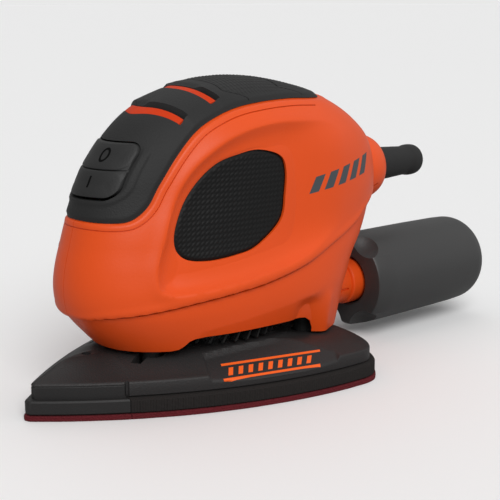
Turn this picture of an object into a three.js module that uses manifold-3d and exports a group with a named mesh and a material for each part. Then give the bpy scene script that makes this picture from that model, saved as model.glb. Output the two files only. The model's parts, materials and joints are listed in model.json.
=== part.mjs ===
// Detail ("mouse") sander: a palm-held orbital sander on an iron-shaped base.
// Millimetres, +Z up. The motor axis is the Z axis and the abrasive face is the plane Z = 0.
// The tip of the base points along -Y, the cord and the dust canister along +Y.
import * as THREE from "three";
import { mergeVertices } from "three/addons/utils/BufferGeometryUtils.js";
import Module from "manifold-3d";

// ---- driving dimensions -------------------------------------------------------------------
const BASE_TIP_Y = -78; // tip of the rigid base plate
const BASE_REAR_Y = 56; // rear of the rigid base plate
const BASE_HALF_WIDTH = 48;
const BASE_WIDEST_Y = 38;
const BASE_TIP_ANGLE = THREE.MathUtils.degToRad(42); // half angle at the tip
const FOAM_STEP = 2; // the foam pad stands this far outside the plate
const PAD_STEP = 2.5; // and the abrasive this far
const TIP_SPLIT_Y = -51.5; // seam between the tip holder and the main pad
const TIP_SCREW_Y = -64;

const SHEET_TOP = 1.9;
const FOAM_TOP = 7.4;
const PLATE_EDGE_TOP = 13.2;
const GAP = 0.3; // clearance between faceted neighbours
const WALL = 2.6; // housing wall
const PARTING_GAP = 0.15; // each half stops this far from the middle plane

const ORBIT_RADIUS = 0.75;
const SHAFT_RADIUS = 2.5;
const FAN_RADIUS = 25;
const CAN_RADIUS = 19;
const CAN_BOTTOM = 45;
const CAN_TOP = 90;
const DECK_BOTTOM = 41;
const DECK_TOP = 43.4;

const CORD_Z = 73.5;
const PORT_Z = 24.7;
const PORT_RADIUS = 8.7;
const PORT_END_Y = 87.5;
const CANISTER_RADIUS = 20.1;
const CANISTER_FRONT_Y = 78;
const CANISTER_REAR_Y = 152.5;
const SCOOP_RADIUS = 9; // finger scoops in the canister's front shoulder
const SCOOP_CENTRE = 23.8; // distance of their centres from its axis
const CORD_BOSS_END_Y = 91;

const ROCKER_CENTRE = new THREE.Vector3(0, -52.4, 86.2); // on the sloping front of the cover
const ROCKER_TILT = THREE.MathUtils.degToRad(33.5); // the key leans back this far from vertical
const ROCKER_WIDTH = 24;
const ROCKER_LENGTH = 21;
const ROCKER_GAP = 0.95; // leaves room for the key to tilt
const ROCKER_PIN_DEPTH = 9.5;

const VENT_HALF_SPAN = 16.5;
const FIN_HALF_SPAN = 15;
const FIN_WIDTH = 3;
// Y of a vent's edge at each X: it sweeps back from the middle line with a rounded bend.
const sweep = (y, slope, bend) => (x) => y + Math.hypot(slope * x, bend) - bend;
const VENTS = [
  { end: "front", front: sweep(-35.6, 0.95, 3), rear: sweep(-27.6, 0.42, 1) },
  { end: "rear", front: sweep(-17.4, 0.4, 1), rear: sweep(-7.2, 0, 1) },
];

const LEG_RADIUS = 3.6;
// Flexible legs from the deck down into the base: name, X, Y.
const LEGS = [
  ["leg_front_left", 12, -34.5],
  ["leg_front_right", -12, -34.5],
  ["leg_rear_left", 17, 36],
  ["leg_rear_right", -17, 36],
];
const SCREW_RADIUS = 1.5;
const BOSS_RADIUS = 3.9;
// Screws that join the two halves: name, Y, Z.
const HOUSING_SCREWS = [
  ["housing_screw_nose", -52, 56],
  ["housing_screw_low_front", -49, 33],
  ["housing_screw_low_rear", 52, 50],
  ["housing_screw_tail", 72.5, 58],
  ["housing_screw_top", 62, 92],
];
const DUST_HOLE_RADIUS = 3.6;
const DUST_HOLES = [[0, -30], [0, 30], [22, -6], [-22, -6], [26, 26], [-26, 26]];

// Horizontal sections of the housing: height, front Y, rear Y, half width.
const HOUSING_SECTIONS = [
  [15.5, -44, 57.5, 30],
  [22, -50.5, 58.5, 31.6],
  [30, -57.8, 60.2, 33.2],
  [36, -61.8, 63, 34],
  [43, -63, 67.4, 34],
  [51, -62.2, 75, 33.2],
  [60, -59.8, 81, 32.2],
  [70, -57, 83.6, 31.8],
  [80, -54.2, 82.6, 31.4],
  [89, -49.8, 78.4, 30.6],
  [96, -44, 71, 28.8],
  [102, -37, 62, 25.4],
  [107, -28, 51, 20.6],
  [111, -17, 37, 14.4],
  [113.6, -5, 24, 8],
  [114.5, 3, 15, 3.2],
];

// ---- kernel helpers -----------------------------------------------------------------------
const wasm = await Module();
wasm.setup();

function solidOf(geometry, matrix = new THREE.Matrix4()) {
  const source = geometry.index ? geometry.toNonIndexed() : geometry.clone();
  const bare = new THREE.BufferGeometry().setAttribute("position", source.getAttribute("position"));
  const merged = mergeVertices(bare.applyMatrix4(matrix), 1e-4);
  return new wasm.Manifold(
    new wasm.Mesh({
      numProp: 3,
      vertProperties: new Float32Array(merged.attributes.position.array),
      triVerts: new Uint32Array(merged.index.array),
    }),
  );
}

// The biggest connected piece, dropping slivers that a cut leaves behind.
function largest(solid) {
  return solid.decompose().reduce((best, s) => (s.volume() > best.volume() ? s : best));
}

function geometryOf(solid) {
  const made = solid.getMesh();
  const geometry = new THREE.BufferGeometry();
  geometry.setAttribute("position", new THREE.BufferAttribute(made.vertProperties, 3));
  geometry.setIndex(new THREE.BufferAttribute(made.triVerts, 1));
  geometry.computeVertexNormals();
  return geometry;
}

const at = (x, y, z) => new THREE.Matrix4().makeTranslation(x, y, z);
const ALONG_Z = new THREE.Matrix4().makeRotationX(Math.PI / 2);
const ALONG_X = new THREE.Matrix4().makeRotationZ(-Math.PI / 2);

// A closed solid through rings of points, each ring the same length; both ends are capped.
function loft(rings) {
  const points = [];
  const faces = [];
  const count = rings[0].length;
  rings.forEach((ring) => ring.forEach((p) => points.push(p.x, p.y, p.z)));
  for (let r = 0; r + 1 < rings.length; r++)
    for (let i = 0; i < count; i++) {
      const a = r * count + i;
      const b = r * count + ((i + 1) % count);
      faces.push(a, b, b + count, a, b + count, a + count);
    }
  const cap = (start, flip) => {
    const ring = rings[start / count];
    const middle = ring.reduce((sum, p) => sum.add(p), new THREE.Vector3()).divideScalar(count);
    const hub = points.length / 3;
    points.push(middle.x, middle.y, middle.z);
    for (let i = 0; i < count; i++) {
      const a = start + i;
      const b = start + ((i + 1) % count);
      faces.push(...(flip ? [b, a, hub] : [a, b, hub]));
    }
  };
  cap(0, true);
  cap((rings.length - 1) * count, false);
  const geometry = new THREE.BufferGeometry();
  geometry.setAttribute("position", new THREE.Float32BufferAttribute(points, 3));
  geometry.setIndex(faces);
  return geometry;
}

function box(x0, x1, y0, y1, z0, z1) {
  const geometry = new THREE.BoxGeometry(x1 - x0, y1 - y0, z1 - z0);
  return solidOf(geometry, at((x0 + x1) / 2, (y0 + y1) / 2, (z0 + z1) / 2));
}

// Cylinders named by their axis; r0 is the radius at the low end, r1 at the high end.
function postZ(r, z0, z1, x = 0, y = 0, r1 = r, sides = 24) {
  const geometry = new THREE.CylinderGeometry(r1, r, z1 - z0, sides);
  return solidOf(geometry, at(x, y, (z0 + z1) / 2).multiply(ALONG_Z));
}
function postY(r, y0, y1, x, z, r1 = r, sides = 24) {
  return solidOf(new THREE.CylinderGeometry(r1, r, y1 - y0, sides), at(x, (y0 + y1) / 2, z));
}
function postX(r, x0, x1, y, z, sides = 12) {
  const geometry = new THREE.CylinderGeometry(r, r, x1 - x0, sides);
  return solidOf(geometry, at((x0 + x1) / 2, y, z).multiply(ALONG_X));
}
function tubeZ(inner, outer, z0, z1, x = 0, y = 0, sides = 24) {
  const hole = postZ(inner, z0 - 1, z1 + 1, x, y, inner, sides);
  return postZ(outer, z0, z1, x, y, outer, sides).subtract(hole);
}

// A profile of [y, z] points pushed through the part along X.
function prismX(points, x0, x1) {
  const shape = new THREE.Shape(points.map(([y, z]) => new THREE.Vector2(y, z)));
  const geometry = new THREE.ExtrudeGeometry(shape, { depth: x1 - x0, bevelEnabled: false });
  const turn = new THREE.Matrix4().set(0, 0, 1, x0, 1, 0, 0, 0, 0, 1, 0, 0, 0, 0, 0, 1);
  return solidOf(geometry, turn);
}

// A smooth closed curve through a few [y, z] points.
function smoothClosed(points, steps) {
  const knots = points.map(([y, z]) => new THREE.Vector3(y, z, 0));
  const curve = new THREE.CatmullRomCurve3(knots, true, "centripetal");
  return curve.getPoints(steps).slice(0, -1).map((p) => [p.x, p.y]);
}

// ---- outlines -----------------------------------------------------------------------------

// Half of the iron-shaped outline as [half width, y] from tip to rear, then mirrored to a ring.
function baseOutline(step) {
  const side = new THREE.CubicBezierCurve(
    new THREE.Vector2(0, BASE_TIP_Y),
    new THREE.Vector2(0, BASE_TIP_Y).add(
      new THREE.Vector2(Math.sin(BASE_TIP_ANGLE), Math.cos(BASE_TIP_ANGLE)).multiplyScalar(47),
    ),
    new THREE.Vector2(BASE_HALF_WIDTH, BASE_WIDEST_Y - 38),
    new THREE.Vector2(BASE_HALF_WIDTH, BASE_WIDEST_Y),
  ).getPoints(14);
  const half = side.map((p) => [p.x, p.y]);
  const corner = 2.25; // exponent of the rounded rear
  for (let i = 1; i <= 10; i++) {
    const turn = (i / 10) * (Math.PI / 2);
    half.push([
      BASE_HALF_WIDTH * Math.pow(Math.max(Math.cos(turn), 0), 2 / corner),
      BASE_WIDEST_Y + (BASE_REAR_Y - BASE_WIDEST_Y) * Math.pow(Math.sin(turn), 2 / corner),
    ]);
  }
  half[0][0] = 0;
  half[half.length - 1][0] = 0;
  const ring = [...half, ...half.slice(1, -1).reverse().map(([x, y]) => [-x, y])];
  return ring.map((p, i) => {
    const before = ring[(i + ring.length - 1) % ring.length];
    const after = ring[(i + 1) % ring.length];
    const normal = new THREE.Vector2(after[1] - before[1], before[0] - after[0]).normalize();
    const reach = i === 0 ? step / Math.sin(BASE_TIP_ANGLE) : step;
    return [p[0] + normal.x * reach, p[1] + normal.y * reach];
  });
}
const ringAt = (outline, z) => outline.map(([x, y]) => new THREE.Vector3(x, y, z));
function slab(step, z0, z1) {
  const outline = baseOutline(step);
  return solidOf(loft([ringAt(outline, z0), ringAt(outline, z1)]));
}

// The housing's outer skin, grown or shrunk by an offset; it runs down to floor.
function housingSkin(offset, floor, sides = 36) {
  const ring = ([z, front, rear, half], height) => {
    const points = [];
    const middle = (front + rear) / 2;
    const reach = (rear - front) / 2 + offset;
    const width = half + offset;
    for (let i = 0; i < sides; i++) {
      const turn = (i / sides) * Math.PI * 2;
      // The skirt is squarest at the rear, the nose roundest up by the switch.
      const boxy = turn > 0 && turn < Math.PI
        ? THREE.MathUtils.lerp(3.2, 2.25, THREE.MathUtils.smoothstep(z, 25, 65))
        : THREE.MathUtils.lerp(2.22, 1.95, THREE.MathUtils.smoothstep(z, 60, 80));
      const c = Math.cos(turn);
      const s = Math.sin(turn);
      points.push(
        new THREE.Vector3(
          width * Math.sign(c) * Math.pow(Math.abs(c), 2 / boxy),
          middle + reach * Math.sign(s) * Math.pow(Math.abs(s), 2 / boxy),
          height,
        ),
      );
    }
    return points;
  };
  const top = HOUSING_SECTIONS[HOUSING_SECTIONS.length - 1][0];
  const rings = [ring(HOUSING_SECTIONS[0], floor)];
  const coarse = sides < 30; // inside faces need fewer rings
  for (const [i, section] of HOUSING_SECTIONS.entries()) {
    if (coarse && i % 2 === 1) continue;
    if (offset < 0 && section[3] + offset < 2) continue;
    const lift = offset * THREE.MathUtils.smoothstep(section[0], 85, top);
    if (section[0] + lift > floor) rings.push(ring(section, section[0] + lift));
  }
  return solidOf(loft(rings));
}

// Half width of the housing at a height and a Y, to find where its wall is.
function wallX(y, z) {
  const rows = HOUSING_SECTIONS;
  let i = 0;
  while (i + 2 < rows.length && rows[i + 1][0] < z) i++;
  const t = THREE.MathUtils.clamp((z - rows[i][0]) / (rows[i + 1][0] - rows[i][0]), 0, 1);
  const [front, rear, half] = [1, 2, 3].map((k) => THREE.MathUtils.lerp(rows[i][k], rows[i + 1][k], t));
  const share = Math.abs(y - (front + rear) / 2) / ((rear - front) / 2);
  return half * Math.pow(Math.max(0, 1 - Math.pow(share, 2.1)), 1 / 2.1);
}

// ---- side-view regions, as [y, z] ---------------------------------------------------------
const COVER_EDGE = [
  [-72, 69], [-60, 68.6], [-52, 68.2], [-46, 69.2], [-40.5, 73.6], [-36.4, 80.6], [-29.5, 90],
  [-22, 97.2], [-14, 101.6], [-3, 105], [10, 106.6], [25, 107], [38, 106.3], [46, 106.4],
  [54, 109.5], [58, 125], [-72, 125],
];
const GRIP_EDGE = [
  [-5, 89], [-14, 86.3], [-22.2, 80], [-28.9, 71.3], [-32.4, 61.8], [-29.8, 54.9], [-21, 52.7],
  [-8, 53.4], [2, 55.6], [13.4, 63.2], [16, 73], [16.6, 82.5], [13.6, 87.6], [4, 90.2],
];
const SIDE_ARCH = [
  [-32, 10], [32.5, 10], [32, 18], [29, 22.6], [24, 23.8], [-23, 25.4], [-27.5, 24.2], [-32, 20.6],
];

// Pushes a closed [y, z] outline, listed anticlockwise, outward by a distance.
function grow(points, distance) {
  return points.map((p, i) => {
    const before = points[(i + points.length - 1) % points.length];
    const after = points[(i + 1) % points.length];
    const along = new THREE.Vector2(after[0] - before[0], after[1] - before[1]).normalize();
    return [p[0] + along.y * distance, p[1] - along.x * distance];
  });
}

// ---- materials ----------------------------------------------------------------------------
const finish = (color, roughness, metalness = 0) =>
  new THREE.MeshStandardMaterial({ color, roughness, metalness });
const orangeShell = finish(0xe8541c, 0.45);
const darkRubber = finish(0x2c2c2d, 0.75);
const textureRubber = finish(0x1b1b1c, 0.8);
const ventRed = finish(0xc23a0c, 0.5);
const platePlastic = finish(0x35312f, 0.6);
const foam = finish(0x2a2523, 0.9);
const abrasive = finish(0x5e2328, 0.95);
const canisterPlastic = finish(0x3c3c3d, 0.5);
const steel = finish(0xb9bcc0, 0.3, 1);
const zincSteel = finish(0x9da1a6, 0.4, 1);
const copper = finish(0xb87333, 0.35, 1);
const magnetGrey = finish(0x4a4a4c, 0.7);
const whiteNylon = finish(0xe4e1d8, 0.5);
const boardGreen = finish(0x1f5a37, 0.6);
const filterFelt = finish(0xd8d2c4, 0.95);
const carbon = finish(0x222222, 0.8);

const sander = new THREE.Group();
function add(name, solid, material) {
  const mesh = new THREE.Mesh(geometryOf(solid), material);
  mesh.name = name;
  sander.add(mesh);
}

// ---- housing ------------------------------------------------------------------------------
const outer = housingSkin(0, 15.5);
const inner = housingSkin(-WALL, 8, 24);
const bossLimit = housingSkin(-0.8, 8, 24);
const coverPrism = prismX(COVER_EDGE, -60, 60);
const gripOutline = smoothClosed(GRIP_EDGE, 40);
const gripPocketPrism = prismX(grow(gripOutline, GAP), -60, 60);
const gripPrism = prismX(gripOutline, -60, 60);

function buildShell() {
  let shell = outer.subtract(inner);
  // The deck carries the motor and the legs, two ribs steady the motor and a shelf the cord.
  const deckHole = postZ(15, 30, 60, 0, 0);
  shell = shell.add(inner.intersect(box(-40, 40, -70, 80, DECK_BOTTOM, DECK_TOP)).subtract(deckHole));
  const motorRoom = postZ(CAN_RADIUS + GAP, 70, 100, 0, 0);
  shell = shell.add(inner.intersect(box(-40, 40, -7, 7, 84, 86)).subtract(motorRoom));
  shell = shell.add(inner.intersect(box(-40, 40, 63, 73, 62.5, 65)));
  const cordBoss = new THREE.LatheGeometry(
    [[0, 62], [13.7, 62], [13.7, 82], [13.2, 86], [11.6, 89.2], [8.8, CORD_BOSS_END_Y],
      [0, CORD_BOSS_END_Y]].map(([r, y]) => new THREE.Vector2(r, y)),
    28,
  );
  shell = shell.add(solidOf(cordBoss, at(0, 0, CORD_Z)).subtract(inner));
  shell = shell.subtract(postY(10.2, 70, 84, 0, CORD_Z));
  for (const [, y, z] of HOUSING_SCREWS) {
    shell = shell.add(postX(BOSS_RADIUS, -40, 40, y, z).intersect(bossLimit));
  }
  // Openings: arches above the base, the cord, the dust port, the cover and the grips.
  shell = shell.subtract(prismX(SIDE_ARCH, -60, 60)).subtract(box(-60, 60, -70, -31, 5, 20.8));
  shell = shell.subtract(postY(6.9, 60, 110, 0, CORD_Z));
  shell = shell.subtract(postY(PORT_RADIUS + GAP, 40, 80, 0, PORT_Z));
  shell = shell.subtract(prismX(grow(COVER_EDGE, GAP), -60, 60));
  shell = shell.subtract(gripPocketPrism.subtract(housingSkin(-1.6, 8)));
  for (const [, x, y] of LEGS) shell = shell.subtract(postZ(LEG_RADIUS + GAP, 36, 50, x, y));
  for (const [, y, z] of HOUSING_SCREWS) {
    const reach = wallX(y, z);
    shell = shell.subtract(postX(SCREW_RADIUS + GAP, -40, reach - 8, y, z));
    shell = shell.subtract(postX(3.4, -50, -reach + 4, y, z));
  }
  return shell;
}
const shell = buildShell();
const leftSide = box(PARTING_GAP, 90, -200, 200, -50, 200);
const rightSide = box(-90, -PARTING_GAP, -200, 200, -50, 200);
add("housing_left", largest(shell.intersect(leftSide)), orangeShell);
add("housing_right", largest(shell.intersect(rightSide)), orangeShell);

// ---- soft cover over the top, with switch opening and two vents ---------------------------
const rockerPlace = new THREE.Matrix4()
  .makeTranslation(ROCKER_CENTRE.x, ROCKER_CENTRE.y, ROCKER_CENTRE.z)
  .multiply(new THREE.Matrix4().makeRotationX(Math.PI / 2 - ROCKER_TILT));
// In the rocker's own frame +Y runs up the slope and +Z points out of the cover.
function rockerBlock(width, length, z0, z1) {
  const geometry = new THREE.BoxGeometry(width, length, z1 - z0);
  return solidOf(geometry, rockerPlace.clone().multiply(at(0, 0, (z0 + z1) / 2)));
}
function rockerCrossPin(radius, length) {
  const geometry = new THREE.CylinderGeometry(radius, radius, length, 16);
  return solidOf(geometry, rockerPlace.clone().multiply(at(0, 0, -ROCKER_PIN_DEPTH)).multiply(ALONG_X));
}
// A slot across the crown, cut straight down between a front and a rear edge.
function ventCutter(front, rear, halfSpan, z0, z1) {
  const steps = 12;
  const across = (i) => -halfSpan + (2 * halfSpan * i) / steps;
  const outline = [];
  for (let i = 0; i <= steps; i++) outline.push(new THREE.Vector2(across(i), front(across(i))));
  for (let i = steps; i >= 0; i--) outline.push(new THREE.Vector2(across(i), rear(across(i))));
  const shape = new THREE.Shape(outline);
  const geometry = new THREE.ExtrudeGeometry(shape, { depth: z1 - z0, bevelEnabled: false });
  return solidOf(geometry, at(0, 0, z0));
}
const coverInner = housingSkin(-WALL, 60, 24);
let cover = housingSkin(0.5, 60).subtract(coverInner).intersect(coverPrism);
cover = cover.subtract(rockerBlock(ROCKER_WIDTH + 2 * ROCKER_GAP, ROCKER_LENGTH + 2 * ROCKER_GAP, -20, 10));
for (const { front, rear } of VENTS) {
  cover = cover.subtract(ventCutter(front, rear, VENT_HALF_SPAN, 85, 125));
}
add("top_cover", largest(cover), darkRubber);

const finCrown = housingSkin(-0.3, 60, 24).subtract(housingSkin(-5, 60, 24));
for (const { end, front, rear } of VENTS) {
  const finRear = (x) => Math.min(front(x) + FIN_WIDTH, rear(x) - GAP);
  const fin = ventCutter((x) => front(x) + GAP, finRear, FIN_HALF_SPAN, 80, 125);
  add(`vent_louvre_${end}`, largest(fin.intersect(finCrown)), ventRed);
}

const gripSkin = housingSkin(0.45, 8).subtract(housingSkin(-1.3, 8));
add("grip_left", largest(gripSkin.intersect(gripPrism).intersect(leftSide)), textureRubber);
add("grip_right", largest(gripSkin.intersect(gripPrism).intersect(rightSide)), textureRubber);

// ---- switch -------------------------------------------------------------------------------
function buildRocker() {
  const keySkin = housingSkin(1.1, 60).subtract(housingSkin(-3, 60, 24));
  const key = largest(rockerBlock(ROCKER_WIDTH, ROCKER_LENGTH, -14, 6).intersect(keySkin));
  const stalk = rockerBlock(8, 6, -12, -1.5);
  return key.add(stalk).subtract(rockerCrossPin(1.5, 15.6));
}
add("switch_rocker", buildRocker(), darkRubber);
add("rocker_pin", rockerCrossPin(1.2, 15), steel);
function buildSwitchBody() {
  const body = rockerBlock(15, 12, -26, -12.5).add(rockerBlock(15, 5, -13, -8));
  return body.subtract(rockerBlock(9.5, 24, -14, -5)).subtract(rockerCrossPin(1.5, 20));
}
add("switch_body", buildSwitchBody(), carbon);

// ---- motor --------------------------------------------------------------------------------
add(
  "motor_can",
  postZ(CAN_RADIUS, CAN_BOTTOM, CAN_TOP).subtract(postZ(CAN_RADIUS - 1.4, CAN_BOTTOM + 1.6, CAN_TOP + 1))
    .subtract(postZ(5.4, CAN_BOTTOM - 1, CAN_BOTTOM + 3)),
  zincSteel,
);
add("motor_mount_ring", tubeZ(15, CAN_RADIUS, DECK_TOP + GAP, CAN_BOTTOM - GAP), darkRubber);
for (const [side, low, high] of [["left", 2, 16.9], ["right", -16.9, -2]]) {
  const arc = tubeZ(14.3, 17.2, 50, 80).intersect(box(low, high, -15, 15, 40, 90));
  add(`magnet_${side}`, largest(arc), magnetGrey);
}
const lowerSeat = tubeZ(SHAFT_RADIUS + GAP, 5, CAN_BOTTOM - 1.6, CAN_BOTTOM + 2.6);
add("lower_motor_bearing", lowerSeat, steel);
const endCap = postZ(CAN_RADIUS, CAN_TOP + GAP, CAN_TOP + 4).subtract(postZ(5.4, CAN_TOP - 1, CAN_TOP + 6));
add("motor_end_cap", endCap, whiteNylon);
add("upper_motor_bearing", tubeZ(SHAFT_RADIUS + GAP, 5, CAN_TOP, CAN_TOP + 3.6), steel);
for (const [side, x0, x1] of [["left", 6.6, 14], ["right", -14, -6.6]])
  add(`carbon_brush_${side}`, box(x0, x1, -2.2, 2.2, 82.5, 87.5), carbon);

add("motor_shaft", postZ(SHAFT_RADIUS, 28, 95.5), steel);
function buildArmature() {
  let core = tubeZ(SHAFT_RADIUS + GAP, 13.6, 52, 78);
  for (let i = 0; i < 5; i++) {
    const turn = (i / 5) * Math.PI * 2;
    core = core.subtract(postZ(2.6, 50, 80, 11.8 * Math.cos(turn), 11.8 * Math.sin(turn), 2.6, 12));
  }
  return core;
}
add("armature_core", buildArmature(), steel);
add("commutator", tubeZ(SHAFT_RADIUS + GAP, 6.2, 82, 88), copper);

function buildFan() {
  const hub = tubeZ(SHAFT_RADIUS + GAP, 7, 30.6, 39.4);
  let wheel = hub.add(tubeZ(6, FAN_RADIUS, 37.6, 39.4));
  for (let i = 0; i < 9; i++) {
    const turn = new THREE.Matrix4().makeRotationZ((i / 9) * Math.PI * 2);
    const lean = new THREE.Matrix4().makeRotationZ(0.35);
    const blade = new THREE.BoxGeometry(12, 1.3, 5.6);
    wheel = wheel.add(solidOf(blade, turn.multiply(at(17, 0, 35)).multiply(lean)));
  }
  return wheel;
}
add("cooling_fan", buildFan(), whiteNylon);

function buildShroud() {
  let shroud = tubeZ(26.4, 28, 25, DECK_BOTTOM - GAP, 0, 0, 28);
  for (let i = 0; i < 14; i++) {
    const turn = new THREE.Matrix4().makeRotationZ(((i + 0.5) / 14) * Math.PI * 2);
    const lean = new THREE.Matrix4().makeRotationX(0.45);
    const louvre = new THREE.BoxGeometry(4.4, 1.5, 7.6);
    shroud = shroud.add(solidOf(louvre, turn.multiply(at(26.3, 0, 24.2)).multiply(lean)));
  }
  return shroud;
}
add("fan_shroud", buildShroud(), darkRubber);

const pinX = ORBIT_RADIUS;
add(
  "eccentric_hub",
  postZ(6.4, 24.6, 30.2).subtract(postZ(SHAFT_RADIUS + GAP, 27, 31)).add(postZ(3.8, 14.4, 25, pinX, 0))
    .subtract(postZ(2.1, 10, 22.5, pinX, 0, 2.1, 16)),
  zincSteel,
);
const weightRing = tubeZ(6.8, 20, 25.2, 29.6).intersect(box(-21, -2, -21, 21, 20, 35));
add("counterweight", weightRing, zincSteel);

// ---- base bearing, on the eccentric pin -----------------------------------------------------
add("bearing_inner_race", tubeZ(4.1, 6, 15, 22, pinX, 0), steel);
function buildCage() {
  let cage = tubeZ(6.9, 8.1, 17, 20, pinX, 0);
  for (let i = 0; i < 7; i++) {
    const turn = (i / 7) * Math.PI * 2;
    const ball = new THREE.SphereGeometry(1.2, 6, 5);
    cage = cage.add(solidOf(ball, at(pinX + 7.5 * Math.cos(turn), 7.5 * Math.sin(turn), 18.5)));
  }
  return cage;
}
add("bearing_balls", buildCage(), steel);
add("bearing_outer_race", tubeZ(8.95, 10.9, 15, 22, pinX, 0), steel);
const retainer = postZ(6.6, 11.4, 14.1, pinX, 0).add(postZ(1.8, 13, 21.6, pinX, 0, 1.8, 16));
add("bearing_screw", retainer, zincSteel);

// ---- base: rigid plate, foam pad, tip holder, abrasive --------------------------------------
// Height of the plate's crown: high under the nose, low under the rear foot.
const crownAt = (y) => THREE.MathUtils.lerp(19.2, 14.7, THREE.MathUtils.smoothstep(y, 5, 40));
function buildPlate() {
  const rim = baseOutline(0);
  const crown = baseOutline(-15).map(([x, y], i) => {
    const share = Math.max(1 - i / 3, 0);
    return [x, Math.max(y, BASE_TIP_Y + 26 - 4 * share)];
  });
  const rings = [
    ringAt(rim, FOAM_TOP + 0.1),
    ringAt(rim, PLATE_EDGE_TOP),
    crown.map(([x, y]) => new THREE.Vector3(x, y, crownAt(y))),
  ];
  let plate = solidOf(loft(rings));
  plate = plate.add(postZ(13.5, 12, 22.6, pinX, 0));
  plate = plate.subtract(postZ(11.2, 14.6, 24, pinX, 0));
  plate = plate.subtract(postZ(8.6, 5, 20, pinX, 0));
  // The base circles about the motor axis, so its leg holes are centred where the pin is.
  const legHole = LEG_RADIUS + ORBIT_RADIUS + GAP;
  for (const [, x, y] of LEGS) plate = plate.subtract(postZ(legHole, 10.5, 30, x + pinX, y));
  // A sloping flat on each side, and a blind dimple on top of the nose.
  for (const side of [1, -1]) {
    const place = new THREE.Matrix4()
      .makeTranslation(side * 40, -0.5, 11.7)
      .multiply(new THREE.Matrix4().makeRotationZ(side * -0.255))
      .multiply(new THREE.Matrix4().makeRotationY(side * 0.5));
    plate = plate.subtract(solidOf(new THREE.BoxGeometry(40, 54, 14), place.multiply(at(side * 8, 0, 7))));
  }
  plate = plate.subtract(postZ(1.4, 15, 30, 0, -54.5, 1.4, 16));
  const tipRoom = box(-60, 60, -120, TIP_SPLIT_Y + GAP, 0, 12);
  return plate.subtract(tipRoom);
}
add("base_plate", largest(buildPlate()), platePlastic);

const behindTip = box(-80, 80, TIP_SPLIT_Y + GAP, 120, -5, 60);
const aheadOfTip = box(-80, 80, -140, TIP_SPLIT_Y, -5, 60);
function withDustHoles(solid, z0, z1) {
  let holed = solid;
  for (const [x, y] of DUST_HOLES)
    holed = holed.subtract(postZ(DUST_HOLE_RADIUS, z0 - 1, z1 + 1, x, y, DUST_HOLE_RADIUS, 12));
  return holed;
}
const foamBlank = slab(FOAM_STEP, SHEET_TOP + 0.1, FOAM_TOP - 0.2);
const foamBody = foamBlank.intersect(behindTip).subtract(postZ(8.6, 0, 20, pinX, 0));
add("foam_pad", withDustHoles(foamBody, 0, 10), foam);

function buildTipHolder() {
  const low = slab(FOAM_STEP, SHEET_TOP + 0.1, FOAM_TOP - 0.2).intersect(aheadOfTip);
  const high = slab(0, FOAM_TOP - 0.5, 11.7).intersect(aheadOfTip);
  const holder = low.add(high).subtract(postZ(2.1, 0, 20, 0, TIP_SCREW_Y, 2.1, 16));
  return holder.subtract(postZ(3.9, 0, 5.4, 0, TIP_SCREW_Y, 3.9, 16));
}
add("tip_holder", largest(buildTipHolder()), platePlastic);
const tipScrewHead = postZ(3.4, 2.6, 5, 0, TIP_SCREW_Y, 3.4, 16);
add("tip_screw", tipScrewHead.add(postZ(1.7, 4, 11.8, 0, TIP_SCREW_Y, 1.7, 16)), zincSteel);
const sheet = slab(PAD_STEP, 0, SHEET_TOP);
add("abrasive_sheet", withDustHoles(sheet.intersect(behindTip), 0, 2), abrasive);
add("abrasive_tip", sheet.intersect(aheadOfTip), abrasive);

// ---- legs, screws, cord, board --------------------------------------------------------------
for (const [name, x, y] of LEGS) {
  const flange = postZ(LEG_RADIUS + 2, DECK_TOP + GAP, DECK_TOP + 2.2, x, y, LEG_RADIUS + 2, 20);
  const post = postZ(LEG_RADIUS, 12, DECK_TOP + 1, x, y, LEG_RADIUS, 20);
  add(name, post.add(flange), darkRubber);
}
for (const [name, y, z] of HOUSING_SCREWS) {
  const reach = wallX(y, z);
  const head = postX(3, -reach + 1.2, -reach + 3.6, y, z);
  const shank = postX(SCREW_RADIUS, -reach + 3, reach - 9, y, z);
  const drive = postX(1.1, -reach + 0.5, -reach + 2.4, y, z, 6);
  add(name, head.add(shank).subtract(drive), zincSteel);
}

const guardProfile = [[3.6, 76.5], [9.6, 76.5], [9.6, 80.5], [6.6, 81.5], [6.6, 93], [6, 115], [6.4, 116.5],
  [6.3, 118.6], [4.9, 120], [3.6, 120], [3.6, 76.5]];
const guard = new THREE.LatheGeometry(guardProfile.map(([r, y]) => new THREE.Vector2(r, y)), 24);
add("cord_guard", solidOf(guard, at(0, 0, CORD_Z)), darkRubber);
add("power_cord", postY(3.2, 52, 119.6, 0, CORD_Z, 3.2, 16), darkRubber);
const clampY = 68;
add("cord_clamp", box(-9.5, 9.5, clampY - 4, clampY + 4, CORD_Z + 3.5, CORD_Z + 7.5), whiteNylon);
add("cord_rest", box(-9.5, 9.5, clampY - 4, clampY + 4, CORD_Z - 8, CORD_Z - 3.5), whiteNylon);
function leadTube(points) {
  const path = new THREE.CatmullRomCurve3(points.map((p) => new THREE.Vector3(...p)));
  const round = new THREE.Shape().absarc(0, 0, 0.9, 0, Math.PI * 2);
  return solidOf(new THREE.ExtrudeGeometry(round, { steps: 14, extrudePath: path, curveSegments: 4 }));
}
const switchRoute = [[1.7, 51.4, CORD_Z], [6, 36, 84], [12, 4, 99], [5, -18, 98], [-4, -12, 97]];
add("switch_lead", leadTube(switchRoute), carbon);
const motorRoute = [[-1.7, 51.4, CORD_Z], [-8, 42, 82], [-10, 28, 94], [-9, 12, 96.4]];
add("motor_lead", leadTube(motorRoute), ventRed);
add("rectifier_board", box(-11, 11, 30, 31.6, 52, 70), boardGreen);

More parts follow.
